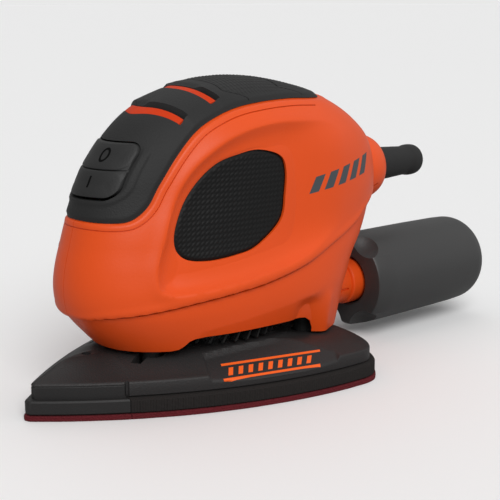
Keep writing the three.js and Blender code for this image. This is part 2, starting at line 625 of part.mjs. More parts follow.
// ---- dust path ------------------------------------------------------------------------------
const portProfile = [[7, 52], [PORT_RADIUS + 2.6, 52], [PORT_RADIUS + 2.6, 54], [PORT_RADIUS, 54],
  [PORT_RADIUS + 0.4, 72.5], [PORT_RADIUS + 0.4, 73.1], [PORT_RADIUS + 0.9, 73.5],
  [PORT_RADIUS + 0.9, PORT_END_Y], [7, PORT_END_Y], [7, 52]];
const port = new THREE.LatheGeometry(portProfile.map(([r, y]) => new THREE.Vector2(r, y)), 28);
const portSolid = solidOf(port, at(0, 0, PORT_Z)).subtract(box(-30, 30, 40, 60, 5, 16.2));
add("dust_port", largest(portSolid), orangeShell);

function buildCanister() {
  const r = CANISTER_RADIUS;
  const profile = [
    [r, CANISTER_FRONT_Y], [r - 1, CANISTER_REAR_Y - 9], [r - 2.6, CANISTER_REAR_Y - 3.6],
    [r - 6.4, CANISTER_REAR_Y - 0.8], [0, CANISTER_REAR_Y], [0, CANISTER_REAR_Y - 2.2],
    [r - 7.4, CANISTER_REAR_Y - 3], [r - 4.6, CANISTER_REAR_Y - 5.6], [r - 3.1, CANISTER_REAR_Y - 10],
    [r - 2.1, CANISTER_FRONT_Y + 16], [PORT_RADIUS + 1.6, CANISTER_FRONT_Y + 16],
    [PORT_RADIUS + 1.6, CANISTER_FRONT_Y + 3], [r - 3.5, CANISTER_FRONT_Y],
  ];
  const points = [...profile, profile[0]].map(([x, y]) => new THREE.Vector2(x, y));
  let can = solidOf(new THREE.LatheGeometry(points, 32), at(0, 0, PORT_Z));
  // Finger grooves with ball ends, above and below the port on each side.
  for (const degrees of [52, 128, 232, 308]) {
    const turn = THREE.MathUtils.degToRad(degrees);
    const x = SCOOP_CENTRE * Math.cos(turn);
    const z = PORT_Z + SCOOP_CENTRE * Math.sin(turn);
    const nose = new THREE.SphereGeometry(SCOOP_RADIUS, 16, 12);
    can = can.subtract(solidOf(nose, at(x, CANISTER_FRONT_Y - 1.5, z)));
  }
  return largest(can);
}
add("canister_shell", buildCanister(), canisterPlastic);
const frameRing = postY(PORT_RADIUS + 2.6, CANISTER_FRONT_Y + 16.3, CANISTER_FRONT_Y + 19.5, 0, PORT_Z);
const frameBars = postY(CANISTER_RADIUS - 3, CANISTER_FRONT_Y + 16.3, CANISTER_FRONT_Y + 17.8, 0, PORT_Z);
const filterFrame = frameRing.add(frameBars).subtract(postY(6, 70, 110, 0, PORT_Z));
add("filter_frame", filterFrame, platePlastic);
const filterBody = postY(15.2, CANISTER_FRONT_Y + 19.8, CANISTER_REAR_Y - 14, 0, PORT_Z, 14.8)
  .subtract(postY(11.5, CANISTER_FRONT_Y + 16, CANISTER_REAR_Y - 18, 0, PORT_Z));
add("dust_filter", filterBody, filterFelt);

export default sander;
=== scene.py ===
import json
import math

import bmesh
import bpy
import numpy as np
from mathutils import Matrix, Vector
from mathutils.bvhtree import BVHTree


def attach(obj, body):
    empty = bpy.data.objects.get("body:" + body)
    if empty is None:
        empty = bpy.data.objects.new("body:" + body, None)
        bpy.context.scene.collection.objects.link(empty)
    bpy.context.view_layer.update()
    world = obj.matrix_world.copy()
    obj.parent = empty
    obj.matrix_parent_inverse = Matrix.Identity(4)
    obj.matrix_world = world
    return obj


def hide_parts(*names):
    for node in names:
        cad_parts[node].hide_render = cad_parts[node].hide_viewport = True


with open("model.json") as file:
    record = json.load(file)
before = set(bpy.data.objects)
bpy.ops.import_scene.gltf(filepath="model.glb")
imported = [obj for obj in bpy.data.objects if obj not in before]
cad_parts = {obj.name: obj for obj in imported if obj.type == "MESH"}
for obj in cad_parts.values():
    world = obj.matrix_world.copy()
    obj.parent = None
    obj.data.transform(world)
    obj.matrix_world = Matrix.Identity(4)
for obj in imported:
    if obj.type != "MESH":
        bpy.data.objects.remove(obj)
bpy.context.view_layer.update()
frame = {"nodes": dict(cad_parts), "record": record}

# ---- dimensions shared with the solids ------------------------------------------------------
SECTIONS = np.array([  # height, front Y, rear Y, half width
    (15.5, -44, 57.5, 30), (22, -50.5, 58.5, 31.6), (30, -57.8, 60.2, 33.2), (36, -61.8, 63, 34),
    (43, -63, 67.4, 34), (51, -62.2, 75, 33.2), (60, -59.8, 81, 32.2), (70, -57, 83.6, 31.8),
    (80, -53.6, 82.6, 31.4), (89, -47.6, 78.4, 30.6), (96, -41.1, 71, 28.8), (102, -34.2, 62, 25.4),
    (107, -25.8, 51, 20.6), (111, -15.6, 37, 14.4), (113.6, -4.6, 24, 8), (114.5, 3, 15, 3.2),
    (114.7, 8, 10, 0.7),
], float)
COVER_EDGE = [
    (-72, 69), (-60, 68.6), (-52, 68.2), (-46, 69.2), (-40.3, 73.7), (-35.7, 80.7), (-28.5, 90),
    (-20.9, 97.2), (-13.1, 101.6), (-2.5, 105), (10.2, 106.6), (25, 107), (38, 106.3), (47, 106),
    (54, 107.6), (57, 112), (58, 125), (-72, 125),
]
GRIP_EDGE = [
    (-5, 89), (-14, 86.3), (-22.2, 80), (-28.9, 71.3), (-32.4, 61.8), (-29.8, 54.9), (-21, 52.7),
    (-8, 53.4), (2, 55.6), (13.4, 63.2), (16, 73), (16.6, 82.5), (13.6, 87.6), (4, 90.2),
]
SCOOP_RIDGE = [
    (-40.7, 52.4), (-40.9, 45.6), (-37.8, 43.2), (-32.7, 42.6), (-19.2, 43.4), (-1.4, 45.2),
    (18.8, 48.4), (33.3, 53.5), (45, 60), (52, 72), (50, 88), (41.4, 97), (19.4, 99.1), (4.7, 98.3),
    (-6.6, 95.6), (-14.9, 91.7), (-23.2, 86), (-29.5, 78.8), (-33.8, 70.5), (-37, 62.3),
]
STEP_LINE = np.array([
    (-66, 33.6), (-60.5, 34.1), (-56.3, 35.6), (-45.9, 37.1), (-35, 38.6), (-27.1, 39.6),
    (-11.1, 41.1), (3.9, 42.6), (22.6, 46.3), (39, 51.8), (56.6, 57.3), (65.5, 61.6), (90, 71),
], float)
ARCH = [
    (-75, 5), (33, 5), (33, 14), (32.4, 18), (30.6, 21.2), (27.6, 23.2), (24, 23.9), (10, 24.3),
    (-22, 25.4), (-26.4, 25.2), (-28.2, 24.4), (-29.6, 22.6), (-31, 21.4), (-33.5, 20.9), (-75, 20.8),
]
OUTSIDE = 60  # X of a plane beyond the housing's flanks
PLUG = 0.12  # each housing half stops this far from the middle plane
SHELL_WALL, COVER_WALL = 3.4, 2.2
FINE_STEP, RING_STEP, GRIP_STEP = 0.62, 1.0, 0.9  # spacing up the skin
OUTLINE_POINTS = 120
COVER_RISE = 0.5  # the soft cover stands this far off the skin
SCOOP_DEPTH, SCOOP_SPREAD = 3.9, 3.6
STEP_DEPTH, STEP_GROOVE, LIP_GROOVE = 1.1, 1.7, 0.35
SHINGLE_RISE, SHINGLE_LENGTH = 1.1, 6.5  # the cover's rise behind each vent, dying away
RIB_HEIGHT, RIB_PITCH, RIB_BREAK = 0.17, 1.65, 2.1  # ribs on the crown
PANEL_GROOVE = 0.4
CORD_Z, CORD_RADIUS = 73.5, 7.5
PORT_Z, PORT_ROOM = 24.7, 9.0
ROCKER_CENTRE = Vector((0, -52.4, 85.5))  # the key's outline is drawn on an upright plane here
ROCKER_HALF = (13.4, 8.95)
ROCKER_CORNER = 4.0
ROCKER_GAP, ROCKER_DROP = 0.55, 0.45  # room round the key, and more below it for its tilt
ROCKER_FRAME = 0.45  # height of the raised frame round the key
VENT_HALF_SPAN = 17.6


def sweep(y, slope, bend):
    """Y of a vent's edge at each X: it sweeps back from the middle line with a rounded bend."""
    return lambda x: y + np.hypot(slope * np.asarray(x, float), bend) - bend


def smooth(x, a, b):
    """0 below a and 1 above b, with an S-shaped rise between them."""
    t = np.clip((np.asarray(x, float) - a) / (b - a), 0, 1)
    return t * t * (3 - 2 * t)


class Vent:
    """A fin in a slot; away from the middle line a narrow recess opens behind the fin."""

    def __init__(self, front, width, taper, recess, opens):
        self.front, self.width, self.taper, self.recess, self.opens = front, width, taper, recess, opens

    def fin_rear(self, x):
        return self.front(x) + self.width - self.taper * np.abs(x)

    def open_share(self, x):
        return smooth(np.abs(x), self.opens, self.opens + 4)

    def rear(self, x):
        return self.fin_rear(x) + 0.25 + self.recess * self.open_share(x)


VENTS = {
    "front": Vent(sweep(-33.0, 0.6, 2.2), 4.0, 0.1, 1.2, 1),
    "rear": Vent(sweep(-15.7, 0.36, 1.5), 3.0, 0.0, 1.1, 7),
}
SCREWS = [(-52, 56), (-49, 33), (52, 50), (72.5, 58), (62, 92)]  # (y, z), on the far side
SCREW_ROOM = 3.4
BASE_TIP_Y, BASE_REAR_Y, BASE_HALF, BASE_WIDEST_Y = -78, 56, 48, 38
TIP_SEAM_Y, TIP_SCREW_Y, TIP_BLUNT = -51.4, -64, 1.4
ORBIT = 0.75  # at rest the base stands this far to one side of its bearing
LEGS = [(12, -34.5), (-12, -34.5), (17, 36), (-17, 36)]
DUST_HOLES, DUST_RADIUS = [(0, -30), (0, 30), (22, -6), (-22, -6), (26, 26), (-26, 26)], 3.6
BADGE = [(25, -21), (37.5, -26.6), (60, -14), (60, 24), (50, 25), (33.6, 32)]
PLATE_RIM, CROWN_FRONT, CROWN_DROP = 12.2, 19.2, 4.5
SEED = 7


# ---- small maths ----------------------------------------------------------------------------
def spline(points, count, closed=True):
    """A Catmull-Rom curve through the points, count samples."""
    p = np.array(points, float)
    n = len(p)
    t = np.linspace(0, n if closed else n - 1, count, endpoint=not closed)
    i = np.minimum(t.astype(int), n - 1 if closed else n - 2)
    s = (t - i)[:, None]

    def pick(k):
        return p[(i + k) % n] if closed else p[np.clip(i + k, 0, n - 1)]

    a, b, c, d = pick(-1), pick(0), pick(1), pick(2)
    square, cube = 2 * a - 5 * b + 4 * c - d, 3 * b - a - 3 * c + d
    return 0.5 * (2 * b + (c - a) * s + square * s**2 + cube * s**3)


def run(line):
    """Distance along a line at each of its points."""
    return np.concatenate([[0], np.cumsum(np.hypot(*np.diff(line, axis=0).T))])


def evenly(line, count):
    """The same line with evenly spaced points."""
    length = run(line)
    want = np.linspace(0, length[-1], count)
    return np.column_stack([np.interp(want, length, along) for along in line.T])


def level_ring(ring, z):
    """An (x, y) ring at a height, or at a height for each point."""
    return np.column_stack([ring, np.full(len(ring), z)])


def signed_distance(points, polygon):
    """Distance from each (y, z) point to a closed polygon, positive inside."""
    q = np.asarray(points, float).reshape(-1, 2)
    a = np.array(polygon, float)
    b = np.roll(a, -1, axis=0)
    best = np.full(len(q), 1e9)
    inside = np.zeros(len(q), bool)
    for (ay, az), (by, bz) in zip(a, b):
        e = np.array([by - ay, bz - az])
        w = q - (ay, az)
        t = np.clip((w @ e) / (e @ e + 1e-12), 0, 1)
        best = np.minimum(best, np.hypot(*(w - t[:, None] * e).T))
        crosses = (az > q[:, 1]) != (bz > q[:, 1])
        level = (q[:, 1] - az) / (bz - az + 1e-12) * (by - ay) + ay
        inside ^= crosses & (q[:, 0] < level)
    return np.where(inside, best, -best)


GRIP_OUTLINE = spline(GRIP_EDGE, OUTLINE_POINTS)
RIDGE_OUTLINE = spline(SCOOP_RIDGE, OUTLINE_POINTS)
COVER_OUTLINE = np.vstack([spline(COVER_EDGE[:16], OUTLINE_POINTS, closed=False), COVER_EDGE[16:]])
STEP_CURVE = spline(STEP_LINE, 160, closed=False)


# ---- meshes ---------------------------------------------------------------------------------
def make(name, verts, faces, angle=35):
    mesh = bpy.data.meshes.new(name)
    mesh.from_pydata((np.asarray(verts, float) * 0.001).tolist(), [], [tuple(f) for f in faces])
    mesh.validate()
    obj = bpy.data.objects.new(name, mesh)
    bpy.context.scene.collection.objects.link(obj)
    finish_mesh(obj, angle)
    return obj


def finish_mesh(obj, angle=35):
    obj.data.shade_smooth()
    obj.data.set_sharp_from_angle(angle=math.radians(angle))


def boolean(obj, tool, operation="DIFFERENCE", angle=35):
    """Applies one boolean and removes the tool."""
    modifier = obj.modifiers.new("cut", "BOOLEAN")
    modifier.operation = operation
    modifier.object = tool
    modifier.solver = "MANIFOLD"
    graph = bpy.context.evaluated_depsgraph_get()
    result = bpy.data.meshes.new_from_object(obj.evaluated_get(graph))
    obj.modifiers.clear()
    if len(result.polygons) == 0:
        raise RuntimeError(f"boolean on {obj.name} left nothing")
    old = obj.data
    obj.data = result
    bpy.data.meshes.remove(old)
    bpy.data.objects.remove(tool)
    finish_mesh(obj, angle)
    return obj


def grid_faces(rows, cols, start=0, flip=False, wrap=False):
    faces = []
    span = cols if wrap else cols - 1
    for i in range(rows - 1):
        for j in range(span):
            k = (j + 1) % cols
            a, b = start + i * cols + j, start + i * cols + k
            c, d = start + (i + 1) * cols + k, start + (i + 1) * cols + j
            faces.append((d, c, b, a) if flip else (a, b, c, d))
    return faces


def sheet_solid(name, outer, inner, angle=35):
    """A closed sheet between two grids of the same shape."""
    rows, cols = outer.shape[:2]
    n = rows * cols
    faces = grid_faces(rows, cols) + grid_faces(rows, cols, n, flip=True)
    edge = [(0, j) for j in range(cols)] + [(i, cols - 1) for i in range(1, rows)]
    edge += [(rows - 1, j) for j in range(cols - 2, -1, -1)] + [(i, 0) for i in range(rows - 2, 0, -1)]
    loop = [i * cols + j for i, j in edge]
    for a, b in zip(loop, loop[1:] + loop[:1]):
        faces.append((b, a, a + n, b + n))
    verts = np.vstack([outer.reshape(-1, 3), inner.reshape(-1, 3)])
    return make(name, verts, faces, angle)


def tube_solid(name, rings, angle=35):
    """Rings of points, each closed; the first and last are capped with a fan."""
    rings = np.asarray(rings, float)
    rows, cols = rings.shape[:2]
    verts = np.vstack([rings.reshape(-1, 3), rings[0].mean(0), rings[-1].mean(0)])
    faces = grid_faces(rows, cols, wrap=True)
    low, high = rows * cols, rows * cols + 1
    for j in range(cols):
        k = (j + 1) % cols
        faces.append((k, j, low))
        faces.append(((rows - 1) * cols + j, (rows - 1) * cols + k, high))
    return make(name, verts, faces, angle)


def torus(name, grid):
    """A grid of points that joins up with itself in both directions."""
    rows, cols = grid.shape[:2]
    faces = []
    for i in range(rows):
        here, there = i * cols, (i + 1) % rows * cols
        for j in range(cols):
            k = (j + 1) % cols
            faces.append((here + j, there + j, there + k, here + k))
    obj = make(name, grid.reshape(-1, 3), faces)
    weld(obj)
    return obj


def lathe_y(name, profile, z, segments=96):
    """A closed (radius, y) profile turned about a line along Y at a height."""
    turn = np.linspace(0, 2 * math.pi, segments, endpoint=False)
    grid = [[(r * math.cos(t), y, z + r * math.sin(t)) for t in turn] for r, y in profile]
    return torus(name, np.array(grid))


def weld(obj):
    bm = bmesh.new()
    bm.from_mesh(obj.data)
    bmesh.ops.remove_doubles(bm, verts=bm.verts, dist=1e-7)
    bmesh.ops.dissolve_degenerate(bm, edges=bm.edges, dist=1e-7)
    bmesh.ops.recalc_face_normals(bm, faces=bm.faces)
    bm.to_mesh(obj.data)
    bm.free()
    finish_mesh(obj)


def prism(name, outline, start, end, upright):
    """A closed outline pushed along Z when upright, or else along X."""
    outline = np.asarray(outline, float)
    n = len(outline)
    level, flat = np.repeat([start, end], n), np.tile(outline, (2, 1))
    faces = [tuple(range(n - 1, -1, -1)), tuple(range(n, 2 * n))]
    faces += [(i, (i + 1) % n, n + (i + 1) % n, n + i) for i in range(n)]
    obj = make(name, np.column_stack([flat, level] if upright else [level, flat]), faces)
    weld(obj)
    return obj


def prism_x(name, outline, x0=-OUTSIDE, x1=OUTSIDE):
    """A (y, z) outline pushed along X; the two ends may come in either order."""
    return prism(name, outline, min(x0, x1), max(x0, x1), False)


def prism_z(name, outline, z0, z1):
    return prism(name, outline, z0, z1, True)


def cylinder(name, radius, start, end, segments=48):
    a, b = Vector(start), Vector(end)
    turn = (b - a).to_track_quat("Z", "Y").to_matrix()
    rings = []
    for p in (a, b):
        rings.append([
            p + turn @ Vector((radius * math.cos(t), radius * math.sin(t), 0))
            for t in np.linspace(0, 2 * math.pi, segments, endpoint=False)
        ])
    return tube_solid(name, rings)


def join(objects, name):
    """One object holding copies of all the meshes."""
    verts, faces, base = [], [], 0
    for o in objects:
        verts += [tuple(v.co * 1000) for v in o.data.vertices]
        faces += [tuple(base + i for i in p.vertices) for p in o.data.polygons]
        base = len(verts)
        bpy.data.objects.remove(o)
    return make(name, verts, faces)


# ---- housing skin ---------------------------------------------------------------------------
def section_levels(step):
    """The sections, smoothly interpolated so that no dimension jumps by more than step."""
    fine = spline(SECTIONS, 4000, closed=False)
    moved = np.abs(np.diff(fine, axis=0)).max(axis=1)
    length = np.concatenate([[0], np.cumsum(moved)])
    want = np.linspace(0, length[-1], int(length[-1] / step) + 1)
    return np.array([np.interp(want, length, fine[:, k]) for k in range(4)]).T


def skin(step, columns, whole=False):
    """Grid of points on the housing skin, from the front middle round the +X side to the rear."""
    rows = section_levels(step)
    dense = np.linspace(-math.pi / 2, math.pi / 2, 600)
    grid = []
    for z, front, rear, half in rows:
        boxy_rear = 3.2 - 0.95 * float(smooth(z, 25, 65))  # 2 would be an ellipse
        boxy_nose = 2.22 - 0.27 * float(smooth(z, 60, 80))
        power = np.where(dense > 0, 2 / boxy_rear, 2 / boxy_nose)
        c, s = np.abs(np.cos(dense)), np.sin(dense)
        x = half * c**power
        y = (front + rear) / 2 + (rear - front) / 2 * np.sign(s) * np.abs(s) ** power
        x[0] = x[-1] = 0
        grid.append(level_ring(evenly(np.column_stack([x, y]), columns), z))
    grid = np.array(grid)
    if whole:
        other = grid[:, -2:0:-1].copy()
        other[..., 0] *= -1
        grid = np.concatenate([grid, other], axis=1)
    return grid


def normals(grid, wrap=False):
    if wrap:
        across = np.roll(grid, -1, 1) - np.roll(grid, 1, 1)
    else:
        across = np.gradient(grid, axis=1)
        across[:, 0, 1] = across[:, -1, 1] = 0  # the two halves mirror each other
    up = np.gradient(grid, axis=0)
    n = np.cross(across, up)
    return n / (np.linalg.norm(n, axis=2, keepdims=True) + 1e-9)


def side_features(p):
    """Relief of the orange shell and grips, outward positive, at points p on the skin."""
    y, z = p[..., 1], p[..., 2]
    side = np.stack([y.ravel(), z.ravel()], 1)
    # Finger scoop round the grip, fading out towards the rear.
    depth = signed_distance(side, RIDGE_OUTLINE).reshape(y.shape)
    fade = 1 - smooth(y, 14, 47)
    ramp = 1 - np.exp(-np.maximum(depth, 0) / SCOOP_SPREAD)
    crest = np.exp(-((depth + 0.6) / 2.4) ** 2) * 0.5
    relief = fade * (crest - SCOOP_DEPTH * ramp)
    # Step above the skirt.
    over = z - np.interp(y, STEP_CURVE[:, 0], STEP_CURVE[:, 1])
    relief += 0.3 * np.exp(-((over - 1.2) / 1.4) ** 2) - STEP_DEPTH * (1 - smooth(over, -0.9, 0.1))
    # The skirt leans in below a crease that runs from the arch up to the rear.
    crease = np.interp(y, [-30, -24, 26, 46, 60], [22, 27.6, 32.5, 38, 40])
    below = np.clip(crease - z, 0, 30)
    relief -= 0.16 * below * smooth(y, -30, -20) * (1 - smooth(y, 27, 40))
    pocket = np.exp(-(((y - 26.5) / 6.5) ** 2)) * smooth(33.5 - z, 0, 6)
    relief -= 1.7 * pocket * smooth(y, 14, 24)
    relief += 0.7 * np.exp(-(((y - 38.5) / 3.4) ** 2)) * smooth(34 - z, 0, 6)
    return relief


def lip_features(p):
    """Bead beside the soft cover, and soft edges at each opening."""
    side = np.stack([p[..., 1].ravel(), p[..., 2].ravel()], 1)
    away = -signed_distance(side, COVER_OUTLINE).reshape(p.shape[:2])
    relief = 0.2 * np.exp(-((away - 1.3) / 0.9) ** 2) - 0.6 * (1 - smooth(away, 0.0, 0.9))
    grip = -signed_distance(side, GRIP_OUTLINE).reshape(p.shape[:2])
    relief -= 0.55 * (1 - smooth(grip, 0.2, 1.6))
    return relief


def rocker_local(p):
    """Points in the key's own frame: across, up, forward."""
    q = np.asarray(p, float) - np.array(ROCKER_CENTRE)
    return q[..., 0], q[..., 2], -q[..., 1]


def rounded_box(a, b, half_a, half_b, radius):
    """Signed distance to a rounded rectangle, negative inside."""
    da = np.abs(a) - half_a + radius
    db = np.abs(b) - half_b + radius
    return np.hypot(np.maximum(da, 0), np.maximum(db, 0)) + np.minimum(np.maximum(da, db), 0) - radius


def cover_features(p):
    x, y, z = p[..., 0], p[..., 1], p[..., 2]
    relief = np.full(x.shape, COVER_RISE)
    side = np.stack([y.ravel(), z.ravel()], 1)
    inside = signed_distance(side, COVER_OUTLINE).reshape(x.shape)
    relief -= 0.75 * (1 - smooth(inside, 0.1, 1.5))
    for vent in VENTS.values():
        behind = y - vent.rear(x)
        ramp = smooth(behind - 3.2 * (1 - vent.open_share(x)), -3.2, 0.3)
        near = 1 - smooth(np.abs(x), VENT_HALF_SPAN - 3, VENT_HALF_SPAN + 4)
        relief += SHINGLE_RISE * near * np.exp(-np.maximum(behind, 0) / SHINGLE_LENGTH) * ramp
    a, b, out = rocker_local(p)
    edge = rounded_box(a, b, *ROCKER_HALF, ROCKER_CORNER)
    band = (smooth(edge, 0.3, 1.0) - smooth(edge, 2.3, 3.0)) * (1 - smooth(b, 4, 9))
    ahead = out > -20  # the key's outline also meets the back of the cover
    relief += np.where(ahead, ROCKER_FRAME * band - 0.1 * (1 - smooth(edge, 0, 1)), 0)
    # Ribbed panel between two S-shaped borders across the crown.
    front_edge, _ = panel_edges(x)
    top = smooth(z, 104.5, 106.5) * smooth(inside, 1.8, 2.8)
    panel = top * smooth(y, front_edge + 0.6, front_edge + 1.4)
    ribs = np.cos(y * 2 * math.pi / RIB_PITCH) * (0.6 + 0.4 * np.cos(x * 2 * math.pi / RIB_BREAK))
    return relief + panel * RIB_HEIGHT * ribs


def panel_edges(x):
    """Y of the two S-shaped borders of the ribbed panel."""
    wave = np.abs(x)
    front = -5.8 + 2.8 * smooth(wave, 0, 12) + 8.0 * smooth(wave, 14, 20)
    rear = 20.0 + 4.6 * smooth(wave, 3, 9) + 9.5 * smooth(wave, 14, 17)
    return front, rear


def ring_shell(name, outer, inner, lowest):
    """A closed cap above a height, its rings running down the inside and up the outside."""
    keep = outer[:, 0, 2] > lowest
    return tube_solid(name, np.concatenate([inner[keep][::-1], outer[keep]]))


def strip(curve, low, high):
    """A closed outline that follows an open curve between two offsets to its left."""
    along = np.gradient(curve, axis=0)
    left = np.column_stack([-along[:, 1], along[:, 0]])
    left /= np.linalg.norm(left, axis=1, keepdims=True)
    return np.vstack([curve + left * low, (curve + left * high)[::-1]])


def engrave(objects, points, n, region, depth, base=0.0):
    """Cuts a groove of one depth into each object; region() makes the prism of its outline."""
    for obj in objects:
        layer = ring_shell("layer", points + n * 3.0, points + n * (base - depth), 12)
        boolean(layer, region(), "INTERSECT")
        boolean(obj, layer)


def plain_box(name, x0, x1, y0, y1, z0, z1):
    verts = [(x, y, z) for z in (z0, z1) for x, y in ((x0, y0), (x1, y0), (x1, y1), (x0, y1))]
    return tube_solid(name, np.array(verts).reshape(2, 4, 3))


def cord_boss(name):
    """The domed collar round the cord, with a flare where it leaves the shell."""
    knots = [(14.6, 70), (14.4, 79), (14.1, 82.6), (13.4, 85.8), (12.2, 88.3), (10.2, 89.9),
             (7.9, 90.1)]
    profile = [(7.9, 70)] + spline(knots, 40, closed=False).tolist()
    return lathe_y(name, profile, CORD_Z, segments=128)


def build_halves():
    points = skin(FINE_STEP, 320)
    n = normals(points)
    relief = side_features(points) + lip_features(points)
    outer = points + n * relief[..., None]
    inner = points - n * SHELL_WALL
    outer[:, 0, 0] = outer[:, -1, 0] = 0
    halves = {}
    for side, sign in (("left", 1), ("right", -1)):
        flip = np.array([sign, 1, 1])
        shell = sheet_solid(f"shell_{side}", (outer * flip)[:, ::sign], (inner * flip)[:, ::sign])
        boolean(shell, prism_x("arch", ARCH))
        boolean(shell, prism_x("cover_room", COVER_OUTLINE))
        boolean(shell, prism_x("grip_room", GRIP_OUTLINE, sign * 10, sign * OUTSIDE))
        boolean(shell, cord_boss("boss"), "UNION")
        boolean(shell, cylinder("cord_room", CORD_RADIUS, (0, 60, CORD_Z), (0, 110, CORD_Z)))
        boolean(shell, cylinder("port_room", PORT_ROOM, (0, 40, PORT_Z), (0, 80, PORT_Z)))
        low, high = sorted((sign * PLUG, sign * 80))
        boolean(shell, plain_box("half", low, high, -120, 140, 0, 140), "INTERSECT")
        if side == "right":
            for y, z in SCREWS:
                boolean(shell, cylinder("screw_room", SCREW_ROOM, (-OUTSIDE, y, z), (-1, y, z)))
        halves[side] = shell
    ring = skin(RING_STEP, 220, whole=True)
    ring_normals = normals(ring, wrap=True)
    step_line = strip(STEP_CURVE, -0.45, 0.05)
    lip_line = strip(COVER_OUTLINE[:96], -2.75, -2.4)
    for line, depth in ((step_line, STEP_GROOVE), (lip_line, LIP_GROOVE)):
        engrave(halves.values(), ring, ring_normals, lambda: prism_x("line", line), depth)
    return halves


def build_cover():
    """The soft cover, with the skin grid and normals that the key and the vents follow."""
    points = skin(FINE_STEP, 330, whole=True)
    n = normals(points, wrap=True)
    outer = points + n * cover_features(points)[..., None]
    cover = ring_shell("soft_cover", outer, points - n * COVER_WALL, 60)
    boolean(cover, prism_x("keep", COVER_OUTLINE), "INTERSECT")
    for drop in (0.0, ROCKER_DROP):
        boolean(cover, rocker_prism("rocker_room", ROCKER_GAP, drop=drop))
    for vent in VENTS.values():
        boolean(cover, vent_prism("slot", vent.front, vent.rear, VENT_HALF_SPAN))
    across = np.linspace(-22, 22, 160)
    for line in panel_edges(across):
        edge = strip(np.column_stack([across, line]), -0.2, 0.2)
        engrave([cover], points, n, lambda: prism_z("line", edge, 104.6, 130), PANEL_GROOVE, COVER_RISE)
    return cover, points, n


def rocker_outline(grow, low, high):
    """Rounded rectangle in the key's plane; low and high pick part of its height, from -1 to 1."""
    at_foot, at_head = low < -0.9, high > 0.9
    half_a = ROCKER_HALF[0] + grow
    b0, b1 = low * ROCKER_HALF[1] - grow * at_foot, high * ROCKER_HALF[1] + grow * at_head
    corners = [
        (half_a, b1, 0, at_head), (-half_a, b1, 90, at_head),
        (-half_a, b0, 180, at_foot), (half_a, b0, 270, at_foot),
    ]
    pts = []
    for a, b, start, outer in corners:
        r = ROCKER_CORNER + grow if outer else 0.4
        ca, cb = a - math.copysign(r, a), b - r if start < 180 else b + r
        for t in np.radians(np.linspace(start, start + 90, 24)):
            pts.append((ca + r * math.cos(t), cb + r * math.sin(t)))
    return np.array(pts)


def rocker_world(a, b, out):
    """The reverse of rocker_local."""
    a, b, out = np.broadcast_arrays(*(np.asarray(v, float) for v in (a, b, out)))
    return np.array(ROCKER_CENTRE) + np.stack([a, -out, b], axis=-1)


def rocker_prism(name, grow, part=(-1.0, 1.0), drop=0.0, reach=20):
    line = rocker_outline(grow, *part) - (0, drop)
    return tube_solid(name, [rocker_world(line[:, 0], line[:, 1], out) for out in (-reach, reach)])


def vent_prism(name, front, rear, span):
    """An upright prism between two curves given as functions of X."""
    xs = np.linspace(-span, span, 61)
    line = np.vstack([np.column_stack([xs, front(xs)]), np.column_stack([xs, rear(xs)])[::-1]])
    return prism_z(name, line, 80, 130)


def surface_tree(points, n, relief):
    """A ray-casting tree of a displaced grid that closes on itself."""
    outer = points + n * relief[..., None]
    rows, cols = outer.shape[:2]
    faces = grid_faces(rows, cols, wrap=True)
    return BVHTree.FromPolygons([Vector(v) for v in outer.reshape(-1, 3)], faces)


def mesh_tree(obj):
    """A ray-casting tree of a finished mesh, in millimetres."""
    verts = [v.co * 1000 for v in obj.data.vertices]
    return BVHTree.FromPolygons(verts, [tuple(p.vertices) for p in obj.data.polygons])


def drape(tree, origins, direction):
    """How far each ray travels to the surface; rays that miss get the mean of the others."""
    ray = Vector(direction)
    hits = [tree.ray_cast(Vector(o), ray)[3] for o in origins]
    found = np.array([np.nan if h is None else h for h in hits])
    return np.where(np.isnan(found), np.nanmean(found), found)


